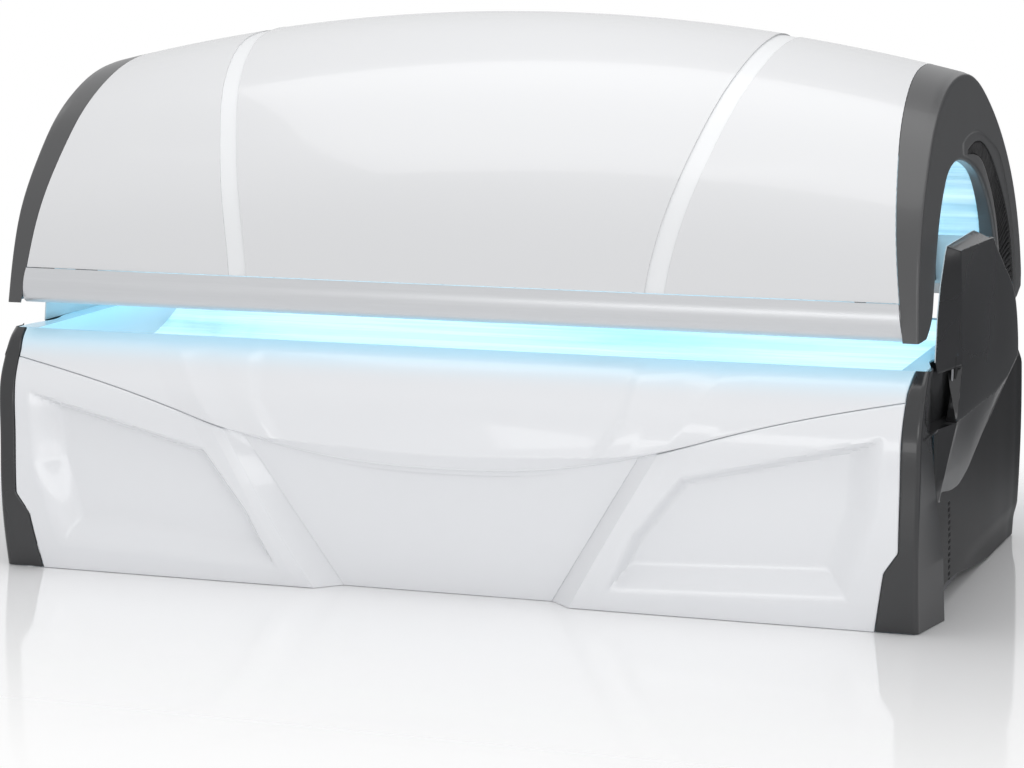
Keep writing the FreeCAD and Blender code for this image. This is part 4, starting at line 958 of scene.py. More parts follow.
    def rear_foot(self, last: np.ndarray) -> np.ndarray:
        """Rows below the last one, down to the foot's bent line: z falls to the line at the point's own y."""
        low = height_at(self.foot, last[:, 1])
        rows = []
        for share in (0.25, 0.5, 0.75, 0.93, 1.0):
            row = last.copy()
            row[:, 2] = last[:, 2] + (np.minimum(low, last[:, 2]) - last[:, 2]) * share
            rows.append(row)
        return np.stack(rows)

    def grille(self) -> Walls:
        """Radial slats with rounded ends between the vent's edges: top and bottom grids of each.

        Along a slat run from the inner to the outer edge, across it a low arch with a straight
        wall down to the recess floor.
        """
        angle = np.linspace(self.vent_tip - 0.035, 0.014, self.slats)
        vent = [np.interp(angle, *self.turn(curve.dense(3000))) for curve in (self.vent_inner, self.vent_outer)]
        r0 = vent[0] + 0.0025
        r1 = np.maximum(vent[1] - 0.0025, r0 + 0.003)
        floor = self.vent_depth - 0.0004
        along = np.array([0.0, 0.02, 0.08, 0.5, 0.92, 0.98, 1.0])
        taper = np.array([0.35, 0.75, 1.0, 1.0, 1.0, 0.75, 0.35])
        across = np.array([-1.0, -1.0, -0.6, 0.0, 0.6, 1.0, 1.0])
        lift = np.array([0.0, 0.75, 0.97, 1.0, 0.97, 0.75, 0.0])
        slats = []
        for turn, low, high in zip(angle, r0, r1):
            middle = self.polar(low + (high - low) * along, turn)
            side = np.array([-math.sin(turn), math.cos(turn)])
            where = middle[:, None, :] + side * (self.slat * taper[:, None] * across[None, :])[..., None]
            height = (self.vent_depth - 0.0026) * np.sqrt(taper)[:, None] * lift[None, :]
            slats.append((self.on_face(where, floor - height), self.on_face(where, floor + 0.0006)))
        return slats


@dataclass
class CanopyInside:
    """What the canopy carries behind its acrylic, and the profiles of its two lips."""

    canopy: Canopy
    opening: Curve
    sheet_away: float = 0.0066
    sheet_thick: float = 0.004
    sheet_half: float = 1.094
    lamp_drop: float = 0.036
    lamp_half: float = 0.950
    lamp_radius: float = 0.019
    lamps: int = 14
    holder_radius: float = 0.022
    holder_length: float = 0.024
    air: float = 0.0003
    reflector: Point = (0.066, 0.0675)
    rack_x: float = 0.9746
    rib_half: float = 0.0015
    ribs: tuple[float, ...] = (-0.82, -0.40, 0.0, 0.40, 0.82)
    lip: list[Point] = traced(
        (-655.5, 747), (-662.5, 727), (-660.5, 696), (-652, 679), (-640, 669), (-602, 703), (-507, 700.5))
    rear: list[Point] = traced(
        (720, 668), (722.5, 645), (713, 634), (650, 611), (546, 621), (500, 652), (410, 664), (390, 690),
        (378, 765), (361, 801))

    def line(self, away: float) -> np.ndarray:
        """The tunnel's arch, moved outward."""
        arch = Curve(self.opening.points[1:-1])
        return aside(arch.dense(160), away)

    def places(self) -> np.ndarray:
        """Lamp axes, evenly spaced along the arch behind the sheet."""
        arch = Curve(self.line(self.sheet_away + self.sheet_thick + self.lamp_drop)[::8])
        return arch.at(np.linspace(0.03, 0.97, self.lamps))

    def build(self) -> None:
        """Make the sheet, lamps, holders, reflector, ribs, lip and rear edge."""
        c = self.canopy
        back = self.sheet_away + self.sheet_thick
        half = self.lamp_half
        near = half + self.air
        far = near + self.holder_length
        places = self.places()
        sheet = [sweep(self.line(away), self.sheet_half, c.along) for away in (self.sheet_away, back)]
        fit(shells("roof_sheet", [sheet], Look.ROOF_ACRYLIC, 0.8 * MM), "canopy", "acrylic", "canopy_acrylic")
        tubes = rods("canopy_tubes", places, self.lamp_radius, [(-half, half)], Look.LAMP)
        fit(tubes, "canopy", "lamp_glass", "canopy_lamps")
        spans = [(-far, -near), (near, far)]
        holders = rods("canopy_tube_holders", places, self.holder_radius, spans, Look.HOLDER)
        fit(holders, "canopy", "holder_white", "canopy_lamp_holders")
        sheet = [sweep(self.line(back + away), self.rack_x - self.air, c.along) for away in self.reflector]
        piece = shells("canopy_reflector_sheet", [sheet], Look.BRIGHT, 0.3 * MM)
        fit(piece, "canopy", "reflector_bright", "canopy_reflector")
        self.frame(back)
        lip, rear = np.array(self.lip), np.array(self.rear)
        strip = [sweep(path, c.ring_x(path[:, 1]), c.along) for path in (lip, aside(lip, 0.004))]
        piece = shells("front_lip_profile", [strip], Look.PROFILE, 0.5 * MM)
        fit(piece, "canopy", "aluminium_profile", "lip_profile")
        strip = [sweep(path, np.where(path[:, 0] < 0.52, 1.078, c.ring_x(path[:, 1]) - c.seam), c.along)
                 for path in (rear, aside(rear, -0.003))]
        piece = shells("rear_edge_strip", [strip], Look.INNER, 0.5 * MM)
        fit(piece, "canopy", "light_panel", "rear_edge_profile")

    def frame(self, back: float) -> None:
        """Ribs between the shells and the lamps, with the rear, crown and front rails."""
        reach = self.rack_x
        walls = [self.rib(x, back + 0.0685) for x in self.ribs]
        walls += [self.rib(side * (reach + self.rib_half), back + 0.0004) for side in (-1, 1)]
        walls += [block(-1.079, 1.079, 0.420, 0.480, 0.676, 0.716),
                  block(-reach, reach, -0.300, -0.260, 1.140, 1.170),
                  block(-reach, reach, -0.638, -0.622, 0.800, 0.840)]
        piece = shells("canopy_ribs_and_rails", walls, Look.STEEL, 0.5 * MM)
        fit(piece, "canopy", "painted_steel", "canopy_frame")

    def rib(self, x: float, away: float) -> tuple[np.ndarray, np.ndarray]:
        """Faces of one plate rib: its grid runs along the arch and from the lamps' side to the shells."""
        c = self.canopy
        place = np.full(1, x)
        start = float(c.share_at(place, 0.757, True)[0])
        stop = float(c.share_at(place, 0.672, False)[0])
        shares = np.linspace(start, stop, 120)
        outer = c.surface(np.full(120, x), shares, 0.0048)[:, 1:]
        arch = self.line(away)
        tail = np.array([[arch[-1, 0], 0.740], [arch[-1, 0], 0.676]])
        inner = line(np.concatenate([arch, tail]), np.linspace(0, 1, 120))
        share = np.linspace(0, 1, 4)[None, :, None]
        places = inner[:, None] * (1 - share) + outer[:, None] * share
        near, far = (np.concatenate([np.full(places.shape[:2] + (1,), at), places], -1)
                     for at in (x - self.rib_half, x + self.rib_half))
        return far, near


# ------------------------------------------------------------------ base front
@dataclass
class FrontPanels:
    """Moulded white front: upper panel, two pocketed side panels with diagonal ribs, recessed centre."""

    skin: float = 0.004
    seam: float = 0.0008
    top: float = 0.592
    foot: float = 0.0012
    ridge_out: float = 0.011
    tuck: float = 0.008
    scoop_out: float = 0.0085
    fold_out: float = 0.009
    fold_half: float = 0.085
    pocket_depth: float = 0.034
    pocket_step: float = 0.022
    pocket_ramp: float = 0.088
    centre_top: Point = (0.500, 0.384)
    centre_foot: Point = (0.262, 0.0012)
    centre_lean: float = 0.054
    rib_top: float = 0.545
    rib_foot: float = 0.323
    curve: Curve = curved(
        (-683, 0), (-704, 110), (-712, 236), (-708, 360), (-699, 474), (-672, 528), (-640, 572), (-612, 592))
    edge: list[Point] = traced(
        (1048.5, 0), (1071.5, 143), (1104.5, 192), (1104.5, 440), (1107.5, 545), (1117.5, 600))
    seam_curve: Curve = curved(
        (-1109, 528), (-982, 503), (-763, 451), (-545, 386), (-360, 343), (-190, 322), (0, 316), (190, 322),
        (360, 343), (545, 386), (763, 451), (982, 503), (1109, 528))
    ridge: Curve = curved(
        (-700, 436), (-513, 384), (-276, 361), (0, 350), (276, 361), (513, 384), (700, 436))
    pocket_high: list[Point] = traced(
        (1400, 532), (1400, -300), (246, -300), (414, 46), (484, 190), (596, 332))
    pocket_low: list[Point] = traced(
        (1090, 750), (1070, 450), (1058, 270), (996, 64), (414, 40), (0, 27), (0, 750))
    scoop: list[Point] = traced((372, 300), (428, 396), (470, 461), (494, 592))
    fold: list[Point] = traced((520, 340), (560, 389), (630, 490), (700, 592))

    def front(self, z: np.ndarray) -> np.ndarray:
        """Y of the plain front at a height."""
        return across_at(self.curve.dense(), z)

    def edge_x(self, z: np.ndarray) -> np.ndarray:
        """Half width between the end caps at a height."""
        return across_at(self.edge, z)

    def seam_z(self, x: np.ndarray) -> np.ndarray:
        """Height of the seam under the upper panel."""
        return height_at(self.seam_curve.dense(), x)

    def centre_y(self, z: np.ndarray) -> np.ndarray:
        """Y of the recessed centre panel: straight from its top to the foot that stands back."""
        share = (self.centre_top[1] - z) / (self.centre_top[1] - self.foot)
        top = float(self.front(np.array(self.centre_top[1]))) + 0.009
        foot = float(self.front(np.array(self.foot))) + self.centre_lean
        return top + (foot - top) * share

    def build(self) -> None:
        """Make the four panels."""
        self.upper()
        self.sides()
        z = self.foot + (self.centre_top[1] - self.foot) * stations(30, 0.38)[:, None]
        share = (z - self.foot) / (self.centre_top[1] - self.foot)
        half = self.centre_foot[0] + (self.centre_top[0] - self.centre_foot[0]) * share + 0.002
        x = (2 * stations(60, 0.8)[None, :] - 1) * half
        outer = np.stack([x, self.centre_y(z) + 0 * x, z + 0 * x], -1)
        inner = outer + np.array([0.0, self.skin, 0.0])
        piece = shells("recessed_centre_panel", [(outer, inner)], Look.FRONT, 1 * MM)
        fit(piece, "base", "white_gloss", "lower_panel_centre")

    def upper(self) -> None:
        """Upper panel: belly ridge, two scoop lines and two folds are reliefs on the plain front.

        The belly leans out to the ridge line and tucks back below it; a scoop line is a smooth step
        and a fold is a low tent, both fading towards the deck.
        """
        u = stations(300, 2.2)[None, :]
        v = stations(64, 0.2)[:, None]
        z = np.full((v.shape[0], u.shape[1]), 0.56)
        for _ in range(4):
            x = (2 * u - 1) * self.edge_x(z)
            low = self.seam_z(x)
            z = low + (self.top - low) * v
        side = np.abs(x)
        crest = height_at(self.ridge.dense(), x)
        above = np.clip((z - crest) / 0.11, 0, 1)
        below = np.clip((crest - z) / np.maximum(crest - low, 1e-4), 0, 1)
        belly = np.where(z >= crest, self.ridge_out * (1 - above) ** 2.0,
                         self.ridge_out - (self.ridge_out + self.tuck) * below)
        calm = 1 - smooth(z, 0.54, 0.588)
        off = side - across_at(self.scoop, z)
        step = (smooth(off, -0.030, 0.004) - smooth(off, 0.004, 0.16)) * smooth(z, 0.33, 0.42)
        off = side - across_at(self.fold, z)
        tent = np.clip(1 - np.abs(off) / self.fold_half, 0, 1) ** 1.2 * smooth(z, 0.34, 0.42)
        relief = belly * (1 - smooth(side, 0.44, 0.66)) + (self.scoop_out * step + self.fold_out * tent) * calm
        rim = rim_drop(np.minimum(np.minimum(z - low, self.edge_x(z) - side), 0.02), 0.006)
        outer = np.stack([x, self.front(z) - relief + rim, z], -1)
        inner = np.stack([x, self.front(z) + self.skin + np.maximum(rim, 0.002), z], -1)
        inner[..., 2] -= 0.0006
        steps = np.array([[0, 0.0062, -0.012], [0, 0.0050, -0.0006]])
        outer = np.concatenate([outer[:1] + steps[:, None], outer])
        inner = np.concatenate([inner[:1] + (steps + [0, 0.003, 0])[:, None], inner])
        piece = shells("upper_front_cover", [(outer, inner)], Look.FRONT, 0.8 * MM)
        fit(piece, "base", "white_gloss", "upper_front_panel")

    def sides(self) -> None:
        """Lower side panels: the area between rib, seam and end cap is a four-edge patch.

        The pocket sinks by its depth times the smaller of two smooth steps: a short one from its
        high and inner sides, a long one from its low and outer sides. The rib's flank runs from
        its crease back to the centre panel.
        """
        u = stations(130, 0.75)
        v = stations(72, 0.4)
        high_x = self.rib_top + (float(self.edge_x(0.52)) - self.rib_top) * u
        high = np.stack([high_x, self.seam_z(high_x) - self.seam], -1)
        foot_x = self.rib_foot + (float(self.edge_x(self.foot)) - self.rib_foot) * u
        low = np.stack([foot_x, np.full_like(foot_x, self.foot)], -1)
        left = low[0] + (high[0] - low[0]) * v[:, None]
        right_z = self.foot + (high[-1, 1] - self.foot) * v
        right = np.stack([self.edge_x(right_z), right_z], -1)
        right[-1] = high[-1]
        area = patch(left, right, low, high, u, v)
        x, z = area[..., 0], area[..., 1]
        depth = self.pocket_depth * np.minimum(
            smooth(outline_distance(self.pocket_high, x, z), -0.002, self.pocket_step),
            smooth(outline_distance(self.pocket_low, x, z), -0.004, self.pocket_ramp))
        crest = 0.004 * np.clip(1 - np.abs(x - left[:, None, 0] - 0.035) / 0.05, 0, 1)
        away = np.minimum(high[None, :, 1] - z, right[:, None, 0] - x)
        rim = rim_drop(np.clip(away, 0, 0.02), 0.004)
        y = self.front(z) + depth - crest * smooth(z, 0.0, 0.05) + rim
        back_x = self.centre_foot[0] + (self.centre_top[0] - self.centre_foot[0]) * v
        back = np.stack([back_x, self.centre_y(left[:, 1]) + self.skin, left[:, 1]], -1)
        face = np.stack([x, y, z], -1)
        flank = [back + (face[:, 0] - back) * share for share in (0.0, 0.1, 0.35, 0.65, 0.9, 0.97)]
        outer = np.concatenate([np.stack(flank, 1), face], 1)
        walls = [(outer, wall(outer, -self.skin))]
        both_ends("pocket_panel", walls, Look.FRONT, 1.0 * MM, "base", "white_gloss", "lower_panel")


# ------------------------------------------------------------------ base ends
@dataclass
class EndCap:
    """Dark corner piece: front strip, rounded corner and a flank that flares outward and back."""

    half: float = 1.150
    corner: float = 0.012
    skin: float = 0.004
    front: FrontPanels = field(default_factory=FrontPanels)
    edge: list[Point] = traced(
        (1050, 0), (1073, 143), (1106, 192), (1106, 440), (1109, 545), (1119, 600))
    back: list[Point] = traced(
        (-525, 0), (-545, 289), (-572, 440), (-619, 454), (-664, 486), (-652, 524), (-612, 564), (-566, 592))
    flare: list[Point] = traced((32, 0), (29, 150), (10, 290), (1, 440), (0, 600))

    def build(self) -> None:
        """Make both caps: each row is one height, run along the front, round the corner and back."""
        v = stations(150, 0.59, (0.8, 2.0, 4.0))
        z = 0.002 + 0.590 * v
        y0 = self.front.front(z)
        back = np.maximum(across_at(self.back, z), y0 + 0.016)
        flare = across_at(self.flare, z)
        edge = across_at(self.edge, z)
        columns = []
        for s in (0.0, 0.02, 0.06, 0.15, 0.35, 0.6, 0.85, 0.97, 1.0):
            x = edge + (self.half - self.corner - edge) * s
            drop = rim_drop(x - edge, 0.003)
            columns.append(np.stack([x, y0 + drop, z], -1))
        for k in range(1, 7):
            turn = math.pi / 2 * k / 6
            x = self.half - self.corner + self.corner * math.sin(turn)
            columns.append(np.stack([np.full_like(z, x), y0 + self.corner * (1 - math.cos(turn)), z], -1))
        start = y0 + self.corner
        for s in (0.05, 0.15, 0.3, 0.5, 0.7, 0.85, 0.95, 0.985, 1.0):
            y = start + (back - start) * s
            share = (y - start) / (-0.525 - start)
            x = self.half + flare * np.clip(share, 0, 1.2) - rim_drop(back - y, 0.003)
            columns.append(np.stack([x, y, z], -1))
        outer = np.stack(columns, 1)
        walls = [(outer, wall(outer, -self.skin))]
        both_ends("corner_cap", walls, Look.DARK, 0.8 * MM, "base", "anthracite", "end_cap")


@dataclass
class SideHousing:
    """Bulging side cover with an arched foot, a scoop in front, a sloped rear top and vent slots."""

    cover_x: float = 1.1543
    swell_middle: float = 0.300
    swell_reach: float = 0.320
    slot: Point = (0.026, 0.008)
    slot_pitch: float = 0.0158
    slot_top: float = 0.252
    slots: int = 14
    slot_depth: float = 0.0065
    foot_tuck: float = 0.007
    skin: float = 0.004
    front_y: float = -0.5705
    bulge: Curve = curved(
        (-560, 0.5), (-480, 3), (-350, 6), (-180, 11), (20, 20), (190, 28), (300, 33), (380, 37), (420, 38),
        (488, 34), (504, 8))
    arch: list[Point] = traced(
        (-560, 40), (-484, 44), (-390, 57), (-250, 50), (-100, 28), (60, 10), (160, 2), (600, 2))
    top: list[Point] = traced(
        (-570.5, 440), (-331.5, 446), (-329.5, 588), (240, 588), (326, 572), (386, 540), (504, 432), (510, 430))
    front_line: list[Point] = traced((-523.5, 0), (-543.5, 289), (-570.5, 440))

    def surface(self, y: np.ndarray, z: np.ndarray) -> np.ndarray:
        """X of the plain outside: cover_x plus the bulge of the place along the side, times the swell.

        The swell is 1 minus a quarter of the square of the height's distance from the middle.
        """
        swell = 1 - 0.25 * ((z - self.swell_middle) / self.swell_reach) ** 2
        return self.cover_x + height_at(self.bulge.dense(), y) * swell

    def build(self) -> None:
        """Make both covers."""
        c = np.concatenate([np.linspace(self.front_y, -0.41, 40), np.linspace(-0.4085, -0.3345, 44),
                            [-0.3325, -0.3315, -0.3295, -0.3285, -0.326], np.linspace(-0.32, 0.47, 70),
                            np.linspace(0.476, 0.504, 16)])
        v = np.concatenate([np.linspace(0, 0.04, 10), np.linspace(0.045, 0.62, 190),
                            np.linspace(0.63, 0.985, 40), [0.99, 0.995, 1.0]])
        y0 = c[None, :] + 0 * v[:, None]
        low = height_at(self.arch, y0)
        high = height_at(self.top, y0)
        z = low + (high - low) * v[:, None]
        start = across_at(self.front_line, z)
        pull = np.clip(1 - (y0 - self.front_y) / 0.13, 0, 1) ** 2
        y = y0 + (start - self.front_y) * pull
        above, ahead = smooth(z, 0.045, 0.095), smooth(-y, -0.10, 0.30)
        x = self.surface(y, z) - self.foot_tuck * (1 - above) * (1 - ahead)
        x = x - self.slot_depth * self.slot_mask(y, z)
        away = np.minimum(np.minimum(high - z, z - low), y - start)
        x = x - rim_drop(np.clip(away, 0, 0.02), 0.0035)
        outer = np.stack([x, y, z], -1)
        tail = [outer[:, -1:] - np.array([drop, 0, 0]) for drop in (0.002, 0.0075)]
        outer = np.concatenate([outer] + tail, 1)
        outer[..., 0] = np.maximum(outer[..., 0], self.cover_x + 0.0002)
        inner = outer.copy()
        inner[..., 0] = np.maximum(outer[..., 0] - self.skin, self.cover_x - 0.0004)
        both_ends("side_cover", [(outer, inner)], Look.HOUSING, 0.0, "base", "anthracite", "side_housing")

    def slot_mask(self, y: np.ndarray, z: np.ndarray) -> np.ndarray:
        """1 inside a vent slot, 0 outside, with soft sides: a rounded bar per slot."""
        mask = np.zeros_like(y)
        for i in range(self.slots):
            top = self.slot_top - i * self.slot_pitch
            left = -0.394 + 0.006 * math.sin(i / (self.slots - 1) * math.pi) + 0.002 * i
            middle_y, middle_z = left + self.slot[0] / 2, top - self.slot[1] / 2
            along = np.maximum(np.abs(y - middle_y) - (self.slot[0] - self.slot[1]) / 2, 0)
            mask = np.maximum(mask, 1 - smooth(np.hypot(along, z - middle_z), 0.0028, 0.0044))
        return mask


@dataclass
class Column:
    """Blade-shaped column over each base end: a wedge below the scoop, a slanted facet and a long flank."""

    inner_x: float = 1.135
    panel_thick: float = 0.0022
    cover_x: float = 1.1543
    crease_x: float = 1.1655
    scoop_z: float = 0.446
    facet_z: float = 0.556
    top_edge: float = 0.849
    top_fall: float = 0.45
    thin: Triple = (0.650, 0.850, 0.28)
    nose: list[Point] = traced((-512, 268), (-536, 300), (-533, 380), (-530, 446))
    wedge_crease: list[Triple] = field(default_factory=lambda: [
        (-0.400, 1.1552, 0.2565), (-0.508, 1.1570, 0.272), (-0.500, 1.1670, 0.328), (-0.420, 1.1800, 0.446)])
    ledge: list[Point] = traced((-420, 454), (50, 451), (200, 466), (330, 498))
    inner_edge: list[Point] = traced(
        (-340, 446), (-440, 556), (-476, 592), (-471, 623), (-458, 700), (-429, 766), (-381, 830), (-360, 849))
    crease: list[Point] = traced(
        (-420, 446), (-287, 560), (-280, 598), (-298, 681), (-317, 777), (-335, 842), (-340, 860))
    rear: Curve = curved(
        (-300, 256), (-160, 270), (-35, 301), (110, 338), (225, 385), (318, 450), (334, 495), (322, 560),
        (283, 640), (232, 695), (172, 738), (110, 782), (58, 820), (10, 849))
    keel: list[Point] = traced(
        (-512, 268), (-399, 259), (-280, 256), (-160, 270), (-35, 301), (110, 338), (225, 385), (318, 450),
        (334, 495))
    flank: list[Triple] = field(default_factory=lambda: [
        (-0.150, 0.034, 0.024), (0.060, 0.041, 0.037), (0.250, 0.048, 0.048), (0.420, 0.052, 0.052)])

    def top(self, x: np.ndarray) -> np.ndarray:
        """Height of the oblique top at x: it falls outward."""
        return self.top_edge - self.top_fall * (x - self.inner_x)

    def out(self, y: np.ndarray, z: float, y_crease: float, x_crease: float) -> np.ndarray:
        """X of the flank behind its crease: a lens, thinner towards the top, that tucks in below the ledge."""
        low, high, share = self.thin
        slim = 1 - share * float(smooth(z, low, high))
        upper = float(smooth(z, self.scoop_z, 0.60))
        knots = [(y_crease, x_crease - self.cover_x)]
        knots += [(a, (t0 + (t1 - t0) * upper) * slim) for a, t0, t1 in self.flank if a > y_crease + 0.08]
        foot, ledge = height_at(self.keel, y), height_at(self.ledge, y)
        tuck = np.clip((z - foot) / np.maximum(ledge - foot, 0.004), 0, 1)
        tuck = np.where(y > y_crease + 0.001, 0.25 + 0.75 * tuck, 1.0)
        ease = smooth(y, y_crease, y_crease + 0.03)
        return self.cover_x + height_at(Curve(knots).dense(400), y) * (tuck * ease + 1 - ease)

    def rear_y(self, z: np.ndarray) -> np.ndarray:
        """Y of the rear edge at a height."""
        dense = self.rear.dense(3000)
        return np.interp(z, np.maximum.accumulate(dense[:, 1]), dense[:, 0])

    def rows(self, heights: np.ndarray, front: np.ndarray, crease: np.ndarray, x0: np.ndarray,
             x1: np.ndarray) -> np.ndarray:
        """Grid of one horizontal row per height: a front facet, then the flank.

        Args:
            heights: Height of each row.
            front: Y where its facet starts.
            crease: Y of its crease.
            x0: X where its facet starts.
            x1: X of its crease.

        Returns:
            Points, one row for each height.
        """
        u = np.concatenate([[0, 0.01, 0.03], np.linspace(0.06, 0.96, 60), [0.98, 0.99, 0.996, 1.0]])
        facet = np.array([0.0, 0.06, 0.35, 0.65, 0.95])
        grid = []
        for z, a, b, x_front, x_crease, c in zip(heights, front, crease, x0, x1, self.rear_y(heights)):
            c = max(c, b + 0.004)
            y = b + (c - b) * u
            x = self.out(y, z, b, x_crease) - rim_drop(np.clip(c - y, 0, 0.02), 0.006)
            x = np.maximum(np.concatenate([x_front + (x_crease - x_front) * facet, x]), x_front)
            y = np.concatenate([a + (b - a) * facet, y])
            grid.append(np.stack([x, y, np.full_like(y, z)], -1))
        return np.stack(grid)

    def build(self) -> None:
        """Make both blades and both inner panels."""
        walls = [(grid, self.back(grid)) for grid in (self.wedge(), self.blade())]
        both_ends("column_blade", walls, Look.DARK, 1.0 * MM, "base", "anthracite", "column_cover")
        both_ends("column_inner_face", [self.panel()], Look.INNER, 0.8 * MM, "base", "light_panel",
                  "column_inner_panel")

    def wedge(self) -> np.ndarray:
        """Outside of the wedge below the scoop's floor, whose lowest rows start just before the crease."""
        z = np.concatenate([[0.2565, 0.258, 0.261], np.linspace(0.265, 0.440, 40),
                            [0.4435, 0.4455, self.scoop_z]])
        y_crease, x_crease, height = np.array(self.wedge_crease).T
        y_crease, x_crease = np.interp(z, height, y_crease), np.interp(z, height, x_crease)
        nose = np.where(z < 0.272, y_crease - 0.004, across_at(self.nose, z))
        return self.rows(z, nose, y_crease, np.full_like(z, self.cover_x), x_crease)

    def blade(self) -> np.ndarray:
        """Outside of the blade above the scoop's floor, closed by rows across its oblique top.

        Below the facet's height the blade starts at the scoop's sloping cut.
        """
        z = np.concatenate([[self.scoop_z, 0.448], np.linspace(0.455, 0.82, 70),
                            np.linspace(0.824, self.top_edge, 10)])
        behind = self.inner_x + self.panel_thick
        cut = (self.scoop_z, self.facet_z)
        over = z > self.facet_z
        front = np.where(over, across_at(self.inner_edge, z), np.interp(z, cut, (-0.418, -0.325)))
        x_front = np.where(over, behind, np.interp(z, cut, (1.178, behind)))
        x_crease = np.interp(z, (self.scoop_z, 0.560, 0.598), (1.1800, 1.1672, self.crease_x))
        grid = self.rows(z, front, across_at(self.crease, z), x_front, x_crease)
        grid[..., 2] = np.minimum(grid[..., 2], self.top(grid[..., 0]))
        closing = []
        for share in (0.04, 0.3, 0.65, 1.0):
            row = grid[-1].copy()
            row[:, 0] += (behind - row[:, 0]) * share
            row[:, 2] = self.top(row[:, 0])
            closing.append(row)
        return np.concatenate([grid, np.stack(closing)])

    def back(self, outer: np.ndarray) -> np.ndarray:
        """Inside of a wall: flat on the end wall, and lower than the outside at the top."""
        inner = outer.copy()
        inner[..., 0] = np.minimum(outer[..., 0] - 0.0002, self.cover_x + 0.0002)
        inner[..., 2] = np.minimum(outer[..., 2], self.top_edge - 0.012)
        return inner

    def panel(self) -> tuple[np.ndarray, np.ndarray]:
        """Both faces of the light panel on the tunnel side, from the deck to the blade's top edge."""
        z = self.scoop_z + 0.1463 + (self.top_edge - self.scoop_z - 0.1463) * stations(50, 0.26)
        front = across_at(self.inner_edge, z)
        y = front[:, None] + (self.rear_y(z) - 0.012 - front)[:, None] * stations(40, 0.7)[None, :]
        near = np.stack([np.full_like(y, self.inner_x), y, z[:, None] + 0 * y], -1)
        return near, near + np.array([self.panel_thick, 0, 0])


# ------------------------------------------------------------------ tunnel
@dataclass
class Bed:
    """Lit bed sheet, the decks beside it and the dark scoops in front of the columns."""

    half: float = 1.085
    thick: float = 0.008
    sheet: float = 0.003
    air: float = 0.0003
    wall_x: float = 1.1507
    cover_x: float = 1.1542
    deck_z: float = 0.5918
    deck_front: float = -0.607
    floor_z: float = 0.446
    cup: list[Point] = traced(
        (1148, -668), (1142, -610), (1140.5, -545), (1130, -500), (1122, -460), (1124, -428), (1132, -396),
        (1136.5, -365), (1138, -336), (1145, -322), (1160, -319))
    curve: Curve = curved(
        (-603, 588), (-560, 534), (-470, 492), (-340, 470), (-180, 464), (-20, 476), (120, 508), (230, 556),
        (284, 586))

    def build(self) -> None:
        """Make the sheet, both decks and both scoops."""
        face = self.curve.at(stations(90, 1.2, (0.8, 2.0)))
        along = stations(60, 2.1, (0.8, 2.0))
        sheet = [sweep(path, self.half, along) for path in (face, aside(face, -self.thick))]
        fit(shells("bed_sheet", [sheet], Look.BED_ACRYLIC, 1.5 * MM), "base", "acrylic", "bed_acrylic")
        # The decks wear the front finish, whose painted glow of the bed's light is near full at the deck's
        # height.
        both_ends("bed_end_deck", self.deck(), Look.FRONT, 0.5 * MM, "base", "grey_sheet", "bed_end_frame")
        both_ends("scoop_lining", self.scoop(), Look.DARK, 0.5 * MM, "base", "anthracite")

    def slab(self, first: np.ndarray, second: np.ndarray, z: float) -> tuple[np.ndarray, np.ndarray]:
        """Level sheet between two lines of (x, y) places, with its top at a height."""
        top = np.stack([np.concatenate([side, np.full((len(side), 1), z)], 1) for side in (first, second)])
        return top, top - np.array([0, 0, self.sheet])

    def deck(self) -> Walls:
        """Walls of the right deck: the part beside the scoop, the part behind it and the bed's end plate."""
        x0 = self.half + self.air
        plan = Curve(self.cup).dense(60)
        edge = aside(plan, 0.0018)[plan[:, 1] > self.deck_front]
        inboard = np.stack([np.full(len(edge), x0), edge[:, 1]], -1)
        return [self.slab(inboard, edge, self.deck_z),
                block(x0, self.wall_x, -0.322, 0.286, 0.589, self.deck_z),
                block(x0, x0 + self.sheet, -0.599, 0.280, 0.470, 0.5888)]

    def scoop(self) -> Walls:
        """Walls of the right scoop: its curved lining below the front's own line, and its floor."""
        plan = Curve(self.cup).dense(60)
        low = self.floor_z - 0.001
        top = np.minimum(height_at(FrontPanels().curve.dense(300), plan[:, 1]) - 0.004, 0.5885)
        lining = []
        for edge in (aside(plan, 0.0), aside(plan, 0.002)):
            rows = [np.concatenate([edge, (low + (top - low) * share)[:, None]], 1)
                    for share in (1.0, 0.99, 0.95, 0.85, 0.5, 0.1, 0.01, 0.0)]
            lining.append(np.stack(rows))
        outboard = np.stack([np.full(len(plan), self.cover_x), plan[:, 1]], -1)
        return [tuple(lining), self.slab(plan, outboard, self.floor_z)]


DRESSED: dict[Look, tuple[str, ...]] = {
    Look.SHEET: ("back_panel", "end_wall_left", "end_wall_right"),
    Look.INNER: ("hinge_brackets",),
    Look.STEEL: ("base_frame", "floor_tray", "bed_lamp_racks", "pivot_post_left", "pivot_post_right"),
    Look.GROUND: ("pivot_pins",),
    Look.BUSH: ("pivot_bushes",),
    Look.RUBBER: ("levelling_feet", "stop_pads"),
    Look.PLASTIC: ("ballasts", "fan_frames", "fan_impeller_left", "fan_impeller_right", "power_inlet",
                   "control_panel"),
    Look.BUTTON: ("button_1", "button_2", "button_3", "button_4"),
    Look.HOLDER: ("bed_lamp_holders",),
    Look.BRIGHT: ("bed_reflector",),
    Look.LAMP: ("bed_lamps",),
}


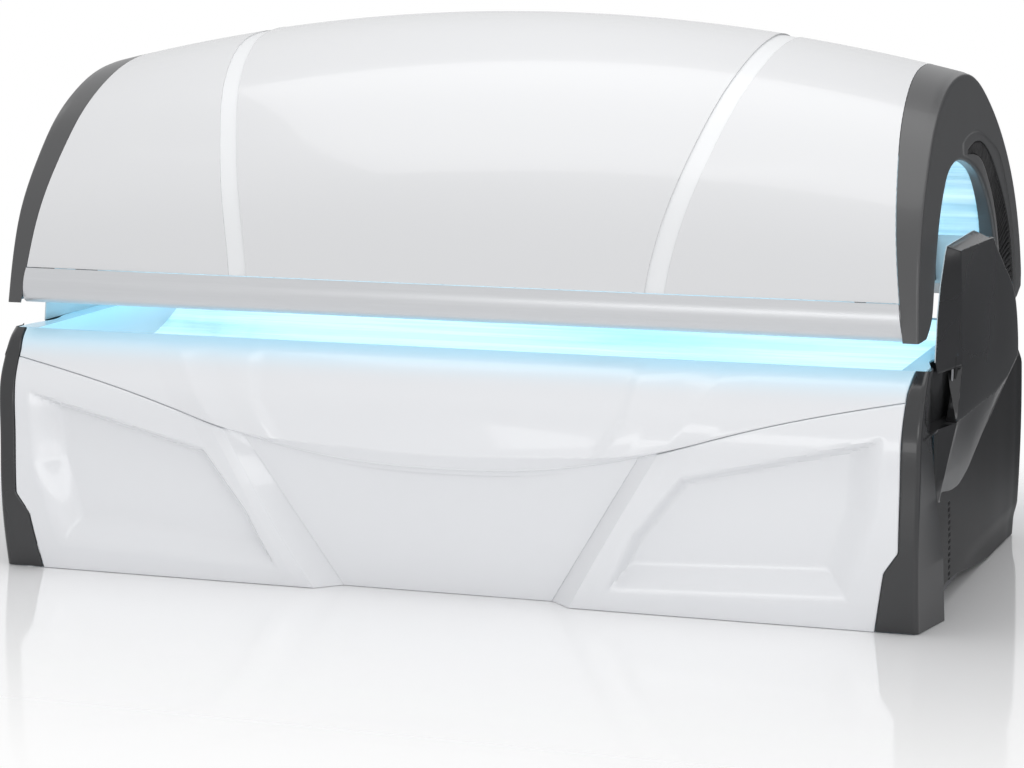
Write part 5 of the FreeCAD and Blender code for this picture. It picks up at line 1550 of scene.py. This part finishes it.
# ------------------------------------------------------------------ studio
@dataclass
class Studio:
    """Pale glossy floor, white surround, soft lights and the camera."""

    eye: Triple = (2.309, -7.010, 1.597)
    yaw: float = 18.57
    pitch: float = 9.118
    lens: float = 101.95
    floor_size: float = 16.0
    floor_tone: Triple = (0.92, 0.92, 0.925)
    floor_fade: float = 1.9
    surround: Triple = (0.73, 0.732, 0.738)
    dark_tone: Triple = (0.09, 0.092, 0.097)
    dark_side: Point = (-0.02, 0.16)
    dark_rear: Point = (0.2, 0.6)

    def build(self) -> None:
        """Put up everything round the machine."""
        self.floor()
        self.world()
        self.lights()
        self.camera()

    def floor(self) -> None:
        """Pale floor whose gloss gives the machine's mirror image.

        Away from the machine's footprint it fades into the white surround: alpha is 1 minus a
        smooth step of the distance from the footprint.
        """
        half = self.floor_size / 2
        mesh = bpy.data.meshes.new("studio_floor")
        corners = [(-half, -half, 0), (half, -half, 0), (half, half, 0), (-half, half, 0)]
        mesh.from_pydata(corners, [], [(0, 1, 2, 3)])
        sheet = put("studio_floor", mesh)
        surface = Surface("studio_floor")
        haze = surface.noise(0.7, 2.0)
        colour = surface.mix(haze, rgba(self.floor_tone), rgba(tuple(1.02 * c for c in self.floor_tone)))
        beside = (surface.axis("X").absolute() - 1.15).above(0.0)
        before = (surface.axis("Y").absolute() - 0.66).above(0.0)
        away = (beside * beside + before * before).power(0.5) * (1.0 + surface.axis("Y").rise(-0.2, 0.5) * 0.8)
        fade = away.rise(0.0, self.floor_fade)
        mesh.materials.append(surface.finish(Base_Color=colour, Roughness=0.07, Coat_Weight=0.0,
                                             Specular_IOR_Level=0.5, Alpha=1.0 - fade))

    def world(self) -> None:
        """Surround: white for the camera, a soft grey for the light it casts, dark behind the right end.

        The dark part, where the direction's x is positive and its y large, is what the right
        end's dark mouldings mirror.
        """
        world = bpy.data.worlds.new("studio")
        bpy.context.scene.world = world
        world.use_nodes = True
        graph = Graph(world.node_tree)
        toward = graph.node("ShaderNodeTexCoord", out="Generated")
        side = graph.part(toward, "X").rise(*self.dark_side)
        rear = graph.part(toward, "Y").rise(*self.dark_rear)
        soft = graph.mix(side * rear, rgba(self.surround), rgba(self.dark_tone))
        seen = graph.node("ShaderNodeLightPath", out="Is Camera Ray")
        back = world.node_tree.nodes["Background"]
        graph.put(back.inputs[0], graph.mix(seen, soft, rgba((1.0, 1.0, 1.0))))

    def lights(self) -> None:
        """A wide light overhead, a broad one from the right front, a low fill and a rim at each end."""
        self.area("overhead", (0.2, -0.6, 3.6), (0, 0, 0.6), (4.2, 2.6), 44)
        self.area("front_right", (4.2, -5.2, 2.6), (0, 0, 0.6), (2.6, 2.2), 40)
        self.area("right_rim", (4.2, 0.6, 2.2), (1.0, 0, 0.7), (0.9, 2.6), 3)
        self.area("left_rim", (-4.0, 1.0, 2.4), (-1.0, 0, 0.8), (0.9, 2.6), 6)
        self.area("front_low", (0.4, -6.4, 0.5), (0, 0, 0.35), (4.6, 1.0), 34)

    def area(self, name: str, place: Triple, aim: Triple, size: Point, power: float) -> None:
        """One rectangular light that looks at a point."""
        lamp = bpy.data.lights.new(name, "AREA")
        lamp.shape = "RECTANGLE"
        lamp.size, lamp.size_y = size
        lamp.energy = power
        holder = put(name, lamp)
        holder.location = place
        toward = np.array(aim, float) - np.array(place, float)
        holder.rotation_mode = "XYZ"
        flat = math.hypot(toward[0], toward[1])
        holder.rotation_euler = (math.atan2(flat, -toward[2]), 0, math.atan2(-toward[0], toward[1]))

    def camera(self) -> None:
        """Camera in front and to the right, looking slightly down."""
        lens = bpy.data.cameras.new("camera")
        lens.lens = self.lens
        lens.sensor_width = 36.0
        holder = put("camera", lens)
        holder.location = self.eye
        holder.rotation_euler = (math.radians(90 - self.pitch), 0, math.radians(self.yaw))
        bpy.context.scene.camera = holder


def main() -> None:
    """Build the visible machine round its frame."""
    logging.basicConfig(level=logging.INFO, format="%(message)s")
    FRAME.update(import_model())
    canopy = Canopy()
    ring = EndRing(canopy)
    for part in (canopy, ring, CanopyInside(canopy, ring.opening), FrontPanels(), EndCap(), SideHousing(),
                 Column(), Bed()):
        part.build()
    for look, nodes in DRESSED.items():
        dress(nodes, look)
    Studio().build()
    scene = bpy.context.scene
    scene.view_settings.view_transform = "Standard"


if __name__ == "__main__":
    main()
